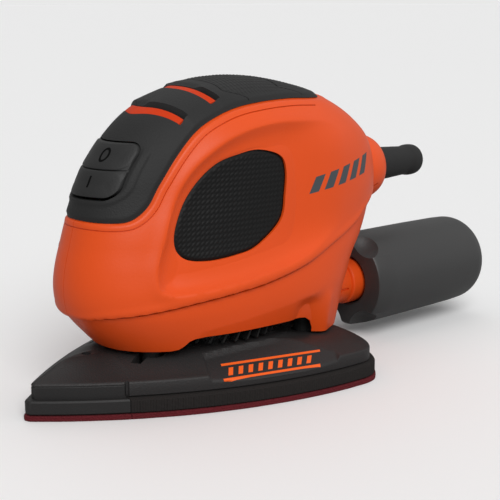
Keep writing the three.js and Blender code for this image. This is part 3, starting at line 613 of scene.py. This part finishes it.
def build_rocker(points, n):
    """The key: a thin plate with two pads on it, and its raised off and on marks."""
    tree = surface_tree(points, n, np.full(points.shape[:2], COVER_RISE))
    step, far = 0.34, 30.0
    a, b = np.meshgrid(np.arange(-15, 15, step), np.arange(-10.4, 10.4, step))
    start = rocker_world(a.ravel(), b.ravel(), np.full(a.size, far))
    height = (far - drape(tree, start, (0, 1, 0))).reshape(a.shape)

    def pad(low, high, lift, thick, edge):
        """One pad whose top follows the cover, rounded over at its rim."""
        middle, reach = (low + high) / 2 * ROCKER_HALF[1], (high - low) / 2 * ROCKER_HALF[1]
        corner = min(ROCKER_CORNER, reach) * 0.8
        rim = -rounded_box(a, b - middle, ROCKER_HALF[0], reach, corner)
        near = 1 - np.clip(rim / edge, 0, 1)
        top = height + lift - edge * (1 - np.sqrt(1 - near**2)) - 0.3 * smooth(rim, 1.2, 5)
        outer = rocker_world(a, b, top)
        solid = sheet_solid("pad", outer, rocker_world(a, b, height + lift - thick))
        return boolean(solid, rocker_prism("outline", 0, (low, high)), "INTERSECT")

    key = pad(-1.0, 1.0, -0.4, 3.0, 0.4)
    for low, high in ((-1.0, -0.01), (0.035, 1.0)):
        boolean(key, pad(low, high, 0.5, 1.8, 0.5), "UNION")
    key.name = "rocker_key"
    key_tree = mesh_tree(key)

    def section(centre, direction):
        """Four corners of a mark's cross-section, sunk into the key and just above it."""
        corners = []
        for u, v in ((-0.34, -0.5), (0.34, -0.5), (0.34, 0.1), (-0.34, 0.1)):
            ca, cb = np.array(centre) + np.array(direction) * u
            top = far - drape(key_tree, [rocker_world(ca, cb, far)], (0, 1, 0))[0]
            corners.append(rocker_world(ca, cb, top + v))
        return corners

    ring = []
    for t in np.linspace(0, 2 * math.pi, 40, endpoint=False):
        c, s = math.cos(t), math.sin(t)
        ring.append(section((3.8 + 1.5 * c, 5.0 + 2.0 * s), (c, s)))
    bar = [section((3.2, b0), (1.0, 0.0)) for b0 in np.linspace(-5.7, -1.9, 12)]
    marks = [torus("mark", np.array(ring)), tube_solid("mark", bar)]
    weld(marks[1])
    return key, join(marks, "rocker_marks")


def build_grips():
    """Woven-pattern pads that fill the side openings."""
    points = skin(GRIP_STEP, 240, whole=True)
    n = normals(points, wrap=True)
    tree = surface_tree(points, n, side_features(points))
    step = 0.3
    y, z = np.meshgrid(np.arange(-34.5, 18.5, step), np.arange(51, 92, step))
    start = np.column_stack([np.full(y.size, float(OUTSIDE)), y.ravel(), z.ravel()])
    x = (OUTSIDE - drape(tree, start, (-1, 0, 0))).reshape(y.shape)
    inside = signed_distance(np.column_stack([y.ravel(), z.ravel()]), GRIP_OUTLINE).reshape(y.shape)
    # Short slanting bars in staggered rows.
    along, across = (y * 0.75 + z * 0.66) / 2.7, (-y * 0.66 + z * 0.75) / 1.2
    row = np.floor(across)
    bump = np.abs(np.sin(math.pi * (along + 0.5 * (row % 2)))) ** 0.6 * np.abs(np.sin(math.pi * across))
    edge = smooth(inside, 0.3, 1.6)
    x = x - 0.75 * (1 - smooth(inside, 0.0, 1.5)) + 0.1 + 0.34 * (bump - 0.5) * edge
    outer = np.stack([x, y, z], 2)
    inner = outer - np.array([2.6, 0, 0])
    pads = []
    shrunk = GRIP_OUTLINE.mean(0) + (GRIP_OUTLINE - GRIP_OUTLINE.mean(0)) * 0.991
    for side, sign in (("left", 1), ("right", -1)):
        flip = np.array([sign, 1, 1])
        a, b = (outer * flip)[:, ::sign], (inner * flip)[:, ::sign]
        pad = sheet_solid(f"grip_pad_{side}", a, b)
        boolean(pad, prism_x("outline", shrunk, sign * 5, sign * OUTSIDE), "INTERSECT")
        pads.append(pad)
    return pads


def build_fins(points, n):
    """Curved fins standing in the vents, each with a black sheet low in the recess behind it: painted
    shade, standing in for the shadow inside the opening.
    """
    fins = {}
    half = VENT_HALF_SPAN - 0.6
    for end, vent in VENTS.items():
        fin = ring_shell(f"vent_fin_{end}", points + n * 0.4, points - n * 5.0, 75)
        boolean(fin, vent_prism("fin", lambda x: vent.front(x) + 0.2, vent.fin_rear, half), "INTERSECT")
        # Painted shade: a black sheet sunk in the recess behind the fin, where the opening shows only
        # shadow.
        painted_shade_sheet = ring_shell(f"vent_baffle_{end}", points - n * 2.6, points - n * 5.0, 75)
        room = vent_prism("room", lambda x: vent.fin_rear(x) + 0.05, lambda x: vent.rear(x) + 1.0, half)
        boolean(painted_shade_sheet, room, "INTERSECT")
        fins[end] = (fin, painted_shade_sheet)
    return fins


# ---- base -----------------------------------------------------------------------------------
def base_half(step, count):
    """Half of the iron-shaped outline grown by step, tip to rear, evenly spaced."""
    tip = math.radians(42)
    p0, p1 = np.array([0, BASE_TIP_Y]), np.array([math.sin(tip), math.cos(tip)]) * 47 + (0, BASE_TIP_Y)
    p2, p3 = np.array([BASE_HALF, BASE_WIDEST_Y - 38]), np.array([BASE_HALF, BASE_WIDEST_Y])
    t = np.linspace(0, 1, 400)[:, None]
    side = (1 - t) ** 3 * p0 + 3 * (1 - t) ** 2 * t * p1 + 3 * (1 - t) * t**2 * p2 + t**3 * p3
    turn = np.linspace(0, math.pi / 2, 200)[1:]
    rear = np.column_stack([
        BASE_HALF * np.clip(np.cos(turn), 0, 1) ** (2 / 2.25),
        BASE_WIDEST_Y + (BASE_REAR_Y - BASE_WIDEST_Y) * np.sin(turn) ** (2 / 2.25),
    ])
    line = np.vstack([side, rear])
    along = np.gradient(line, axis=0)
    out = np.column_stack([along[:, 1], -along[:, 0]])
    out /= np.linalg.norm(out, axis=1, keepdims=True)
    grown = line + out * step
    grown = grown[grown[:, 0] >= 0]
    first = np.array([[0, BASE_TIP_Y - step / math.sin(tip)]])
    last = np.array([[0, BASE_REAR_Y + step]])
    grown = np.vstack([first, grown, last])
    # A small nose radius at the tip.
    blunt = grown[0, 1] + TIP_BLUNT * np.exp(-(grown[:, 0] / 1.6) ** 2)
    grown[:, 1] = np.maximum(grown[:, 1], blunt)
    return evenly(grown, count)


def base_ring(step, count=300):
    half = base_half(step, count)
    other = half[-2:0:-1] * (-1, 1)
    return np.vstack([half, other])


def pushed(ring, amount):
    """The ring moved away from the base's middle by an amount at each point."""
    out = ring - np.array([0, -5.0])
    out /= np.linalg.norm(out, axis=1, keepdims=True)
    return ring + out * amount[:, None]


def roof_height(x, y, inset):
    """Height of the base plate's roof, a distance in from its edge."""
    crown = CROWN_FRONT - CROWN_DROP * smooth(y, 5, 40)
    rise = PLATE_RIM + (crown - PLATE_RIM) * smooth(inset, -3.5, 17)
    ax = np.abs(x)
    cut = 11.3 - np.tan(0.5) * ((ax - 40.2) * math.cos(0.255) - (y + 0.5) * math.sin(0.255))
    inside = signed_distance(np.column_stack([ax.ravel(), y.ravel()]), BADGE).reshape(ax.shape)
    pad = np.minimum(rise, cut)
    return rise + (pad - rise) * smooth(inside, -0.5, 0.6)


def build_plate():
    count = 330
    edge = base_ring(0, count)
    top = roof_height(edge[:, 0], edge[:, 1], np.zeros(len(edge)))
    rings = [level_ring(base_ring(step, count), z) for step, z in ((-0.3, 7.5), (0.0, 7.9), (0.0, 9.6))]
    rings.append(level_ring(edge, np.minimum(top - 0.55, 12.6)))
    rings.append(level_ring(base_ring(-0.2, count), top - 0.15))
    # Roof: rings drawn in towards the middle line.
    middle = np.clip(edge[:, 1], BASE_TIP_Y + 30, BASE_REAR_Y - 26)
    spine = np.column_stack([np.zeros(len(edge)), middle])
    reach = np.linalg.norm(spine - edge, axis=1)
    for inset in np.concatenate([[0.7, 1.3], np.arange(2.1, 26, 0.8)]):
        share = np.clip(inset / reach, 0, 0.96)[:, None]
        ring = edge + (spine - edge) * share
        z = roof_height(ring[:, 0], ring[:, 1], np.full(len(ring), inset))
        rings.append(level_ring(ring, z))
    plate = tube_solid("plate_top", rings)
    # Room for the bearing and the legs, wedge pockets ahead of the front legs and a dimple.
    boolean(plate, cylinder("bearing_room", 11.4, (ORBIT, 0, 5), (ORBIT, 0, 40), 96))
    wedge = np.array([(14.2, -45.2), (16.5, -42.6), (14.8, -36.0), (10.8, -38.6)])
    for side in (1, -1):
        boolean(plate, prism_z("pocket", wedge * (side, 1), 14.7, 40))
    for x, y in LEGS:
        boolean(plate, cylinder("leg_room", 5.0, (x + ORBIT, y, 10.4), (x + ORBIT, y, 40), 64))
    boolean(plate, cylinder("dimple", 1.7, (0, -54.5, 16.2), (0, -54.5, 40)))
    for sign in (1, -1):
        boolean(plate, rounded_slot(sign))
    # The tip holder fills the room under the nose.
    boolean(plate, plain_box("tip_room", -OUTSIDE, OUTSIDE, -120, TIP_SEAM_Y + 0.2, 0, 12.0))
    return plate


def rounded_slot(sign):
    """The upright seam slot in the side of the nose."""
    line = base_half(0, 400)
    i = int(np.argmin(np.abs(line[:, 1] - TIP_SEAM_Y)))
    x, y = line[i]
    return cylinder("seam_slot", 0.85, (sign * x, y + 0.2, 7.9), (sign * x, y + 0.2, 14), 24)


def cut_at_seam(obj, ahead):
    """Keeps the part of a piece ahead of the tip's seam, or the part behind it."""
    low, high = (-140, TIP_SEAM_Y - 0.1) if ahead else (TIP_SEAM_Y + 0.2, 120)
    boolean(obj, plain_box("seam", -80, 80, low, high, -5, 60), "INTERSECT")
    return obj


def build_pad_layers():
    """Foam pad and sheet behind the seam, holder and sheet ahead of it."""
    ribbed = []
    for step, z in ((1.6, 2.05), (2.05, 2.5), (2.05, 6.5), (1.7, 7.1), (1.2, 7.3)):
        ring = base_ring(step, 900)
        ribbed.append(level_ring(pushed(ring, 0.09 * np.sin(run(ring) * 2 * math.pi / 0.95)), z))
    foam = cut_at_seam(tube_solid("foam_layer", ribbed), False)
    boolean(foam, cylinder("well", 8.8, (ORBIT, 0, 0), (ORBIT, 0, 20)))
    levels = ((1.5, 2.05), (2.05, 2.6), (2.05, 6.6), (1.6, 7.2), (0.0, 7.3), (0.0, 8.0), (0.0, 11.5),
              (-0.3, 11.85))
    holder = cut_at_seam(tube_solid("tip_body", [level_ring(base_ring(s), z) for s, z in levels]), True)
    for sign in (1, -1):
        boolean(holder, rounded_slot(sign))
    boolean(holder, cylinder("screw_room", 3.9, (0, TIP_SCREW_Y, 0), (0, TIP_SCREW_Y, 5.4)))
    boolean(holder, cylinder("shank_room", 2.1, (0, TIP_SCREW_Y, 5), (0, TIP_SCREW_Y, 20)))
    # The sheet's edge wanders a little, as a cut edge does.
    rng = np.random.default_rng(SEED)
    wobble = np.convolve(rng.normal(0, 1, 1998), np.ones(60) / 60, "same") * 0.45
    sheets = []
    for step, z in ((2.25, 0.0), (2.5, 0.12), (2.55, 0.95), (2.45, 1.25), (2.5, 1.5), (2.35, 1.85)):
        sheets.append(level_ring(pushed(base_ring(step, 1000), wobble), z))
    sheet = cut_at_seam(tube_solid("sheet", sheets), False)
    nose = cut_at_seam(tube_solid("sheet_nose", sheets), True)
    for layer in (foam, sheet):
        for x, y in DUST_HOLES:
            boolean(layer, cylinder("hole", DUST_RADIUS, (x, y, -1), (x, y, 9)))
    return foam, sheet, holder, nose


# ---- dust port, canister, cord --------------------------------------------------------------
def build_port():
    """The dust port: collar, groove, bead and spigot, with a bayonet slot on each side."""
    r = 8.7
    line = [(7, 52), (r + 2.4, 52), (r + 2.6, 52.3), (r + 2.6, 53.8), (r, 54), (r, 58), (r + 0.4, 60),
            (r + 0.45, 71.6), (r + 0.35, 72.1), (r - 0.25, 72.3), (r - 0.25, 72.9), (r + 0.6, 73.2),
            (r + 0.9, 73.6), (r + 0.9, 86.9), (r + 0.5, 87.5), (7.2, 87.5), (7, 87.2)]
    port = lathe_y("port_tube", line, PORT_Z)
    boolean(port, plain_box("clip", -30, 30, 40, 60, 5, 16.2))
    for sign in (1, -1):
        low, high = sorted((sign * 8.3, sign * 12))
        start, end = (sign * 7.6, 66, PORT_Z - 1), (sign * 12, 66, PORT_Z - 1)
        boolean(port, cylinder("bayonet", 0.8, start, end, 24))
        boolean(port, plain_box("bayonet", low, high, 66, 70.5, PORT_Z - 1.5, PORT_Z - 0.5))
    return port


def build_canister():
    """The canister, with four scoops in its front shoulder."""
    r, front, end = 19.8, 78.0, 152.5
    turn = np.linspace(0, math.pi / 2, 14)
    line = [(10.3, front + 1.2), (11.2, front + 0.2), (r - 1.5, front), (r - 0.5, front + 0.25)]
    line += [(r, front + 1.0), (r + 0.1, front + 12), (r, front + 40), (r - 0.25, end - 14)]
    line += [(r - 0.5 + 7.2 * (math.cos(t) - 1), end - 9 + 9 * math.sin(t)) for t in turn]
    line += [(9, end - 0.02), (5.0, end - 0.5), (0, end - 0.6), (0, end - 2.2), (r - 7.4, end - 3)]
    line += [(r - 4.6, end - 5.6), (r - 3.1, end - 10), (r - 2.1, front + 16), (10.3, front + 16)]
    can = lathe_y("canister_body", line, PORT_Z, segments=160)
    offset, radius = 25.0, 10.4
    around = np.linspace(0, -2 * math.pi, 64, endpoint=False)
    for degrees in (61, 119, 241, 299):
        t = math.radians(degrees)
        centre = np.array([offset * math.cos(t), front - 2.0, PORT_Z + offset * math.sin(t)])
        rings = []
        for a in np.linspace(-math.pi / 2, math.pi / 2, 49):
            rr, y = max(radius * math.cos(a), 0.02), radius * math.sin(a)
            rings.append([centre + (rr * math.cos(k), y, rr * math.sin(k)) for k in around])
        boolean(can, tube_solid("scoop", rings))
    return can


def build_guard():
    """The cord guard, with its bead and rounded end."""
    knots = [(7.3, 82), (7.3, 90), (6.95, 99), (6.5, 107), (6.3, 110.6), (6.45, 112.4), (6.75, 114.2),
             (6.7, 116.6), (6.3, 118.5), (5.2, 119.7), (3.4, 120)]
    line = [(3.4, 76.5), (9.6, 76.5), (9.6, 80.5), (7.3, 81.2)]
    return lathe_y("cord_sleeve", line + spline(knots, 60, closed=False).tolist(), CORD_Z)


def build_grille():
    """The shroud round the fan, with slanting vanes below it."""
    turn = np.linspace(0, 2 * math.pi, 120, endpoint=False)
    wall = [(26.2, 25), (28, 25), (28, 40.7), (26.2, 40.7)]
    grid = [[(r * math.cos(t), r * math.sin(t), z) for t in turn] for r, z in wall]
    pieces = [torus("wall", np.array(grid))]
    count, radius = 36, 27
    for k in range(count):
        start = 2 * math.pi * k / count
        vane = []
        for z, lag in ((20.6, -0.09), (23, -0.045), (25.6, 0.0)):
            corners = []
            for r, half in ((24.6, -0.4), (28.2, -0.4), (28.2, 0.4), (24.6, 0.4)):
                t = start + lag + half / radius
                corners.append((r * math.cos(t), r * math.sin(t), z))
            vane.append(corners)
        pieces.append(tube_solid("vane", vane))
    return join(pieces, "fan_grille")


# ---- printed marks --------------------------------------------------------------------------
def printed(name, tree, grids, direction, thick=0.06):
    """Thin raised patches laid on a surface; each grid holds start points for the rays."""
    ray = np.array(direction, float)
    patches = []
    for grid in grids:
        flat = grid.reshape(-1, 3)
        hit = flat + ray * drape(tree, flat, direction)[:, None]
        outer = (hit - ray * thick).reshape(grid.shape)
        patches.append(sheet_solid("patch", outer, outer + ray * 0.4))
        weld(patches[-1])
    return join(patches, name)


def patch(corners, rows, cols, sign):
    """A grid of points inside four corners, mirrored to the far side when the sign is negative."""
    a, b, c, d = np.array([(sign * x, y, z) for x, y, z in corners])
    if sign < 0:
        a, b, c, d = b, a, d, c
    u, v = np.meshgrid(np.linspace(0, 1, cols), np.linspace(0, 1, rows))
    u, v = u[..., None], v[..., None]
    return (a * (1 - u) + b * u) * (1 - v) + (d * (1 - u) + c * u) * v


def build_side_print(shell, sign):
    """Five slanting bars on the rear of the housing's side."""
    foot, head = np.array([(27.5, 71.6), (64.5, 76.2)]), np.array([(28.6, 77.4), (66.0, 83.6)])
    bars, lean = 5, 0.06
    grids = []
    for k in range(bars):
        low, high = k / bars, (k + 0.62) / bars
        points = [line[0] + (line[1] - line[0]) * share for line, share in (
            (foot, low), (foot, high), (head, high + lean), (head, low + lean))]
        grids.append(patch([(OUTSIDE, *q) for q in points], 14, 14, sign))
    side = "left" if sign > 0 else "right"
    return printed(f"side_bars_{side}", mesh_tree(shell), grids, (-sign, 0, 0))


def build_badge(tree, sign):
    """Two long stripes and a row of short ones on the base's sloping pad."""
    low, high = np.array([(36.4, -20.5), (46.4, 17.5)]), np.array([(29.6, -18.0), (40.2, 21.5)])
    above = 60

    def at_share(along, up):
        lower = low[0] + (low[1] - low[0]) * along
        upper = high[0] + (high[1] - high[0]) * along
        return lower + (upper - lower) * up

    def block(a0, a1, u0, u1, slant=0.0, cols=40):
        shares = ((a0, u0), (a1, u0), (a1 + slant, u1), (a0 + slant, u1))
        return patch([(*at_share(*q), above) for q in shares], 8, cols, sign)

    grids = [block(0.0, 1.0, 0.0, 0.13), block(0.03, 1.03, 0.87, 1.0)]
    grids += [block(0.06 + 0.1 * k, 0.105 + 0.1 * k, 0.28, 0.72, 0.03, 8) for k in range(9)]
    return printed(f"base_stripes_{'left' if sign > 0 else 'right'}", tree, grids, (0, 0, -1))


# ---- finishes -------------------------------------------------------------------------------
EDGE_WEAR, GLOSS_DRIFT, GRAIN_DEPTH = 0.05, 0.07, 0.0004


def linear(r, g, b):
    """An sRGB colour, 0 to 255, as linear light with full alpha."""

    def one(v):
        v /= 255
        return v / 12.92 if v <= 0.04045 else ((v + 0.055) / 1.055) ** 2.4

    return (one(r), one(g), one(b), 1)


def add(nodes, kind, **inputs):
    """A new shader node with some inputs set; an underscore stands for a space in an input's name."""
    node = nodes.new("ShaderNode" + kind)
    for name, value in inputs.items():
        node.inputs[name.replace("_", " ")].default_value = value
    return node


def mixed(nodes, a=None, b=None):
    """A colour mix; its factor is input 0, its colours inputs 6 and 7 and its result output 2."""
    node = add(nodes, "Mix")
    node.data_type = "RGBA"
    for k, value in ((6, a), (7, b)):
        if value is not None:
            node.inputs[k].default_value = value
    return node


def shade(colour, factor, lift=0.0):
    return tuple(np.clip(np.array(colour[:3]) * factor + lift, 0, 1)) + (1,)


def finish(name, colour, roughness, grain, scale, metal=0.0, coat=0.0, vary=0.06, pattern=None,
           sheen=0.0, specular=0.5):
    """A moulded or metal finish: colour drift, fine grain, uneven gloss and lighter worn edges."""
    m = bpy.data.materials.new(name)
    m.use_nodes = True
    nodes, links = m.node_tree.nodes, m.node_tree.links
    shader = nodes["Principled BSDF"]
    for key, value in (("Metallic", metal), ("Coat Weight", coat), ("Specular IOR Level", specular),
                       ("Coat Roughness", 0.25), ("Sheen Weight", sheen)):
        shader.inputs[key].default_value = value
    place = nodes.new("ShaderNodeTexCoord")
    coarse = add(nodes, "TexNoise", Scale=38, Detail=4)
    fine = add(nodes, "TexNoise", Scale=scale, Detail=3)
    for t in (coarse, fine):
        links.new(place.outputs["Object"], t.inputs["Vector"])
    drift = mixed(nodes, shade(colour, 1 - vary), shade(colour, 1 + vary))
    links.new(coarse.outputs["Fac"], drift.inputs[0])
    edge = nodes.new("ShaderNodeNewGeometry")
    ramp = add(nodes, "MapRange", From_Min=0.52, From_Max=0.62, To_Max=EDGE_WEAR)
    links.new(edge.outputs["Pointiness"], ramp.inputs["Value"])
    worn = mixed(nodes, b=shade(colour, 1.3, 0.08))
    links.new(ramp.outputs[0], worn.inputs[0])
    links.new(drift.outputs[2], worn.inputs[6])
    links.new(worn.outputs[2], shader.inputs["Base Color"])
    gloss = add(nodes, "MapRange", To_Min=roughness - GLOSS_DRIFT, To_Max=roughness + GLOSS_DRIFT)
    links.new(coarse.outputs["Fac"], gloss.inputs["Value"])
    links.new(gloss.outputs[0], shader.inputs["Roughness"])
    bump = add(nodes, "Bump", Strength=grain, Distance=GRAIN_DEPTH)
    links.new(fine.outputs["Fac"], bump.inputs["Height"])
    if pattern:
        pattern(nodes, links, place, bump)
    links.new(bump.outputs["Normal"], shader.inputs["Normal"])
    return m


def grit(nodes, links, place, bump):
    """Abrasive grains."""
    cells = add(nodes, "TexVoronoi", Scale=1500)
    links.new(place.outputs["Object"], cells.inputs["Vector"])
    links.new(cells.outputs["Distance"], bump.inputs["Height"])
    bump.inputs["Strength"].default_value = 0.8


def weave(nodes, links, place, bump):
    """Fine crossed threads on the pad's edge."""
    total = nodes.new("ShaderNodeMath")
    total.operation = "ADD"
    for k, (axis, size) in enumerate((("X", 520), ("Z", 700))):
        wave = add(nodes, "TexWave", Scale=size, Distortion=1.2)
        wave.bands_direction = axis
        links.new(place.outputs["Object"], wave.inputs["Vector"])
        links.new(wave.outputs["Fac"], total.inputs[k])
    links.new(total.outputs[0], bump.inputs["Height"])
    bump.inputs["Strength"].default_value = 0.5


FINISHES = [  # name, colour, roughness, grain, grain scale, the rest
    ("orange_shell", (226, 79, 20), 0.42, 0.10, 1400, dict(coat=0.04, vary=0.03, specular=0.3)),
    ("soft_cover", (40, 40, 40), 0.58, 0.32, 1500, dict(vary=0.05, specular=0.2)),
    ("rocker", (42, 42, 42), 0.5, 0.22, 1700, dict(vary=0.04, specular=0.25)),
    ("grip_rubber", (22, 22, 22), 0.5, 0.2, 1800, dict(vary=0.08, specular=0.15)),
    ("vent_red", (200, 54, 6), 0.5, 0.15, 1500, dict(specular=0.15)),
    ("plate_plastic", (40, 38, 38), 0.5, 0.4, 1700, dict(vary=0.05, specular=0.3)),
    ("foam", (38, 35, 34), 0.85, 0.5, 1500, dict(pattern=weave, specular=0.15)),
    ("holder", (38, 37, 37), 0.5, 0.25, 1700, dict(specular=0.25)),
    ("abrasive", (92, 26, 32), 0.9, 0.6, 1500, dict(pattern=grit, vary=0.15, specular=0.2)),
    ("canister_plastic", (56, 56, 56), 0.44, 0.16, 1700, dict(vary=0.04, specular=0.35)),
    ("steel", (190, 192, 196), 0.28, 0.1, 2000, dict(metal=1.0)),
    ("plated_steel", (168, 172, 176), 0.36, 0.15, 2000, dict(metal=1.0)),
    ("copper", (200, 120, 70), 0.35, 0.1, 2000, dict(metal=1.0)),
    ("magnet", (70, 70, 72), 0.7, 0.3, 1500, {}),
    ("white_nylon", (226, 223, 214), 0.5, 0.15, 1500, {}),
    ("black_plastic", (20, 20, 20), 0.5, 0.2, 1700, dict(specular=0.2)),
    ("board", (36, 92, 56), 0.5, 0.2, 1500, {}),
    ("felt", (216, 210, 196), 0.95, 0.8, 700, dict(sheen=0.4)),
    ("mark", (8, 8, 8), 0.8, 0.1, 1500, dict(specular=0.02)),
    ("badge", (240, 96, 24), 0.5, 0.1, 1500, dict(specular=0.3)),
    ("print_grey", (70, 76, 80), 0.55, 0.1, 1500, dict(specular=0.3)),
]
MATERIALS = {name: finish(name, linear(*rgb), *rest, **extra) for name, rgb, *rest, extra in FINISHES}


def dress(obj, slot, body, *nodes, look=None):
    """Gives a piece one finish, the look's when a look is given and else the slot's, hides the solids
    that it stands for, and hangs it on its body.
    """
    obj.data.materials.clear()
    obj.data.materials.append(MATERIALS[look or slot])
    obj.data.polygons.foreach_set("material_index", np.zeros(len(obj.data.polygons), np.int32))
    if nodes:
        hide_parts(*nodes)
    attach(obj, body)


# ---- assemble -------------------------------------------------------------------------------
halves = build_halves()
for side in ("left", "right"):
    dress(halves[side], "orange_shell", "housing", f"housing_{side}")
cover, cover_points, cover_normals = build_cover()
dress(cover, "soft_cover", "housing", "top_cover")
key, marks = build_rocker(cover_points, cover_normals)
dress(key, "soft_cover", "rocker", "switch_rocker", look="rocker")
dress(marks, "soft_cover", "rocker", look="mark")
for grip, side in zip(build_grips(), ("left", "right")):
    dress(grip, "grip_rubber", "housing", f"grip_{side}")
# Each vent's fin, and the black sheet of painted shade in the recess behind it.
for end, (fin, painted_shade_sheet) in build_fins(cover_points, cover_normals).items():
    dress(fin, "vent_red", "housing", f"vent_louvre_{end}")
    dress(painted_shade_sheet, "black_plastic", "housing")
plate = build_plate()
dress(plate, "plate_plastic", "base", "base_plate")
foam, sheet, holder, nose = build_pad_layers()
dress(foam, "foam", "base", "foam_pad")
dress(sheet, "abrasive", "base", "abrasive_sheet")
dress(holder, "plate_plastic", "tip", "tip_holder", look="holder")
dress(nose, "abrasive", "tip", "abrasive_tip")
dress(build_port(), "orange_shell", "housing", "dust_port")
dress(build_canister(), "canister_plastic", "canister", "canister_shell")
dress(build_guard(), "soft_cover", "housing", "cord_guard")
for side, sign in (("left", 1), ("right", -1)):
    dress(build_side_print(halves[side], sign), "orange_shell", "housing", look="print_grey")
plate_tree = mesh_tree(plate)
for sign in (1, -1):
    dress(build_badge(plate_tree, sign), "plate_plastic", "base", look="badge")
dress(build_grille(), "black_plastic", "housing", "fan_shroud")

# Pieces whose solids are right as they are keep them, with a proper finish.
slot_of = {part["node"]: part["material_slot"] for part in frame["record"]["subparts"]}
for name, obj in frame["nodes"].items():
    obj.data.materials.clear()
    obj.data.materials.append(MATERIALS[slot_of[name]])


# ---- floor, light, camera -------------------------------------------------------------------
FLOOR_SEEN, FLOOR_BOUNCE = 0.9, 0.42  # how pale the floor is to the camera and to the sander
SKY_SEEN, SKY_LIGHT = 0.82, 0.34
SUNS = [  # name, where it stands, angular size in degrees, strength
    ("key", (0.95, -0.5, 1.0), 40, 2.1),
    ("fill", (0.6, 0.9, 0.7), 70, 0.35),
    ("top", (-0.5, 0.3, 1.2), 60, 0.4),
]


def aimed(data, place, aim):
    """An object for a light or camera, placed and turned to look at a point."""
    obj = bpy.data.objects.new(data.name, data)
    obj.location = place
    obj.rotation_euler = (Vector(aim) - Vector(place)).to_track_quat("-Z", "Y").to_euler()
    bpy.context.scene.collection.objects.link(obj)
    return obj


def build_stage():
    """A pale floor under an even sky, with three soft suns."""
    bpy.ops.mesh.primitive_plane_add(size=40, location=(0, 0, 0))
    floor = bpy.context.object
    floor.name = "floor"
    m = bpy.data.materials.new("floor")
    m.use_nodes = True
    nodes, links = m.node_tree.nodes, m.node_tree.links
    shader = nodes["Principled BSDF"]
    noise = add(nodes, "TexNoise", Scale=3)
    ramp = add(nodes, "MapRange", To_Min=0.7, To_Max=0.8)
    links.new(noise.outputs["Fac"], ramp.inputs["Value"])
    links.new(ramp.outputs[0], shader.inputs["Roughness"])
    seen = nodes.new("ShaderNodeLightPath")
    tone = mixed(nodes, (FLOOR_BOUNCE,) * 3 + (1,), (FLOOR_SEEN,) * 3 + (1,))
    links.new(seen.outputs["Is Camera Ray"], tone.inputs[0])
    links.new(tone.outputs[2], shader.inputs["Base Color"])
    floor.data.materials.append(m)
    world = bpy.data.worlds.new("studio")
    bpy.context.scene.world = world
    world.use_nodes = True
    nodes, links = world.node_tree.nodes, world.node_tree.links
    background = nodes["Background"]
    background.inputs["Color"].default_value = (1, 1, 1, 1)
    seen = nodes.new("ShaderNodeLightPath")
    level = add(nodes, "MapRange", To_Min=SKY_LIGHT, To_Max=SKY_SEEN)
    links.new(seen.outputs["Is Camera Ray"], level.inputs["Value"])
    links.new(level.outputs[0], background.inputs["Strength"])
    for name, place, spread, power in SUNS:
        light = bpy.data.lights.new(name, "SUN")
        light.energy = power
        light.angle = math.radians(spread)
        aimed(light, place, (0, 0, 0.05))


def build_camera():
    camera = bpy.data.cameras.new("camera")
    camera.lens = 81.55
    camera.sensor_width = 36
    camera.shift_x = 0.005
    bpy.context.scene.camera = aimed(camera, (0.3314, -0.2644, 0.1438), (0, 0.0218, 0.046))


build_stage()
build_camera()
bpy.context.scene.view_settings.view_transform = "Standard"
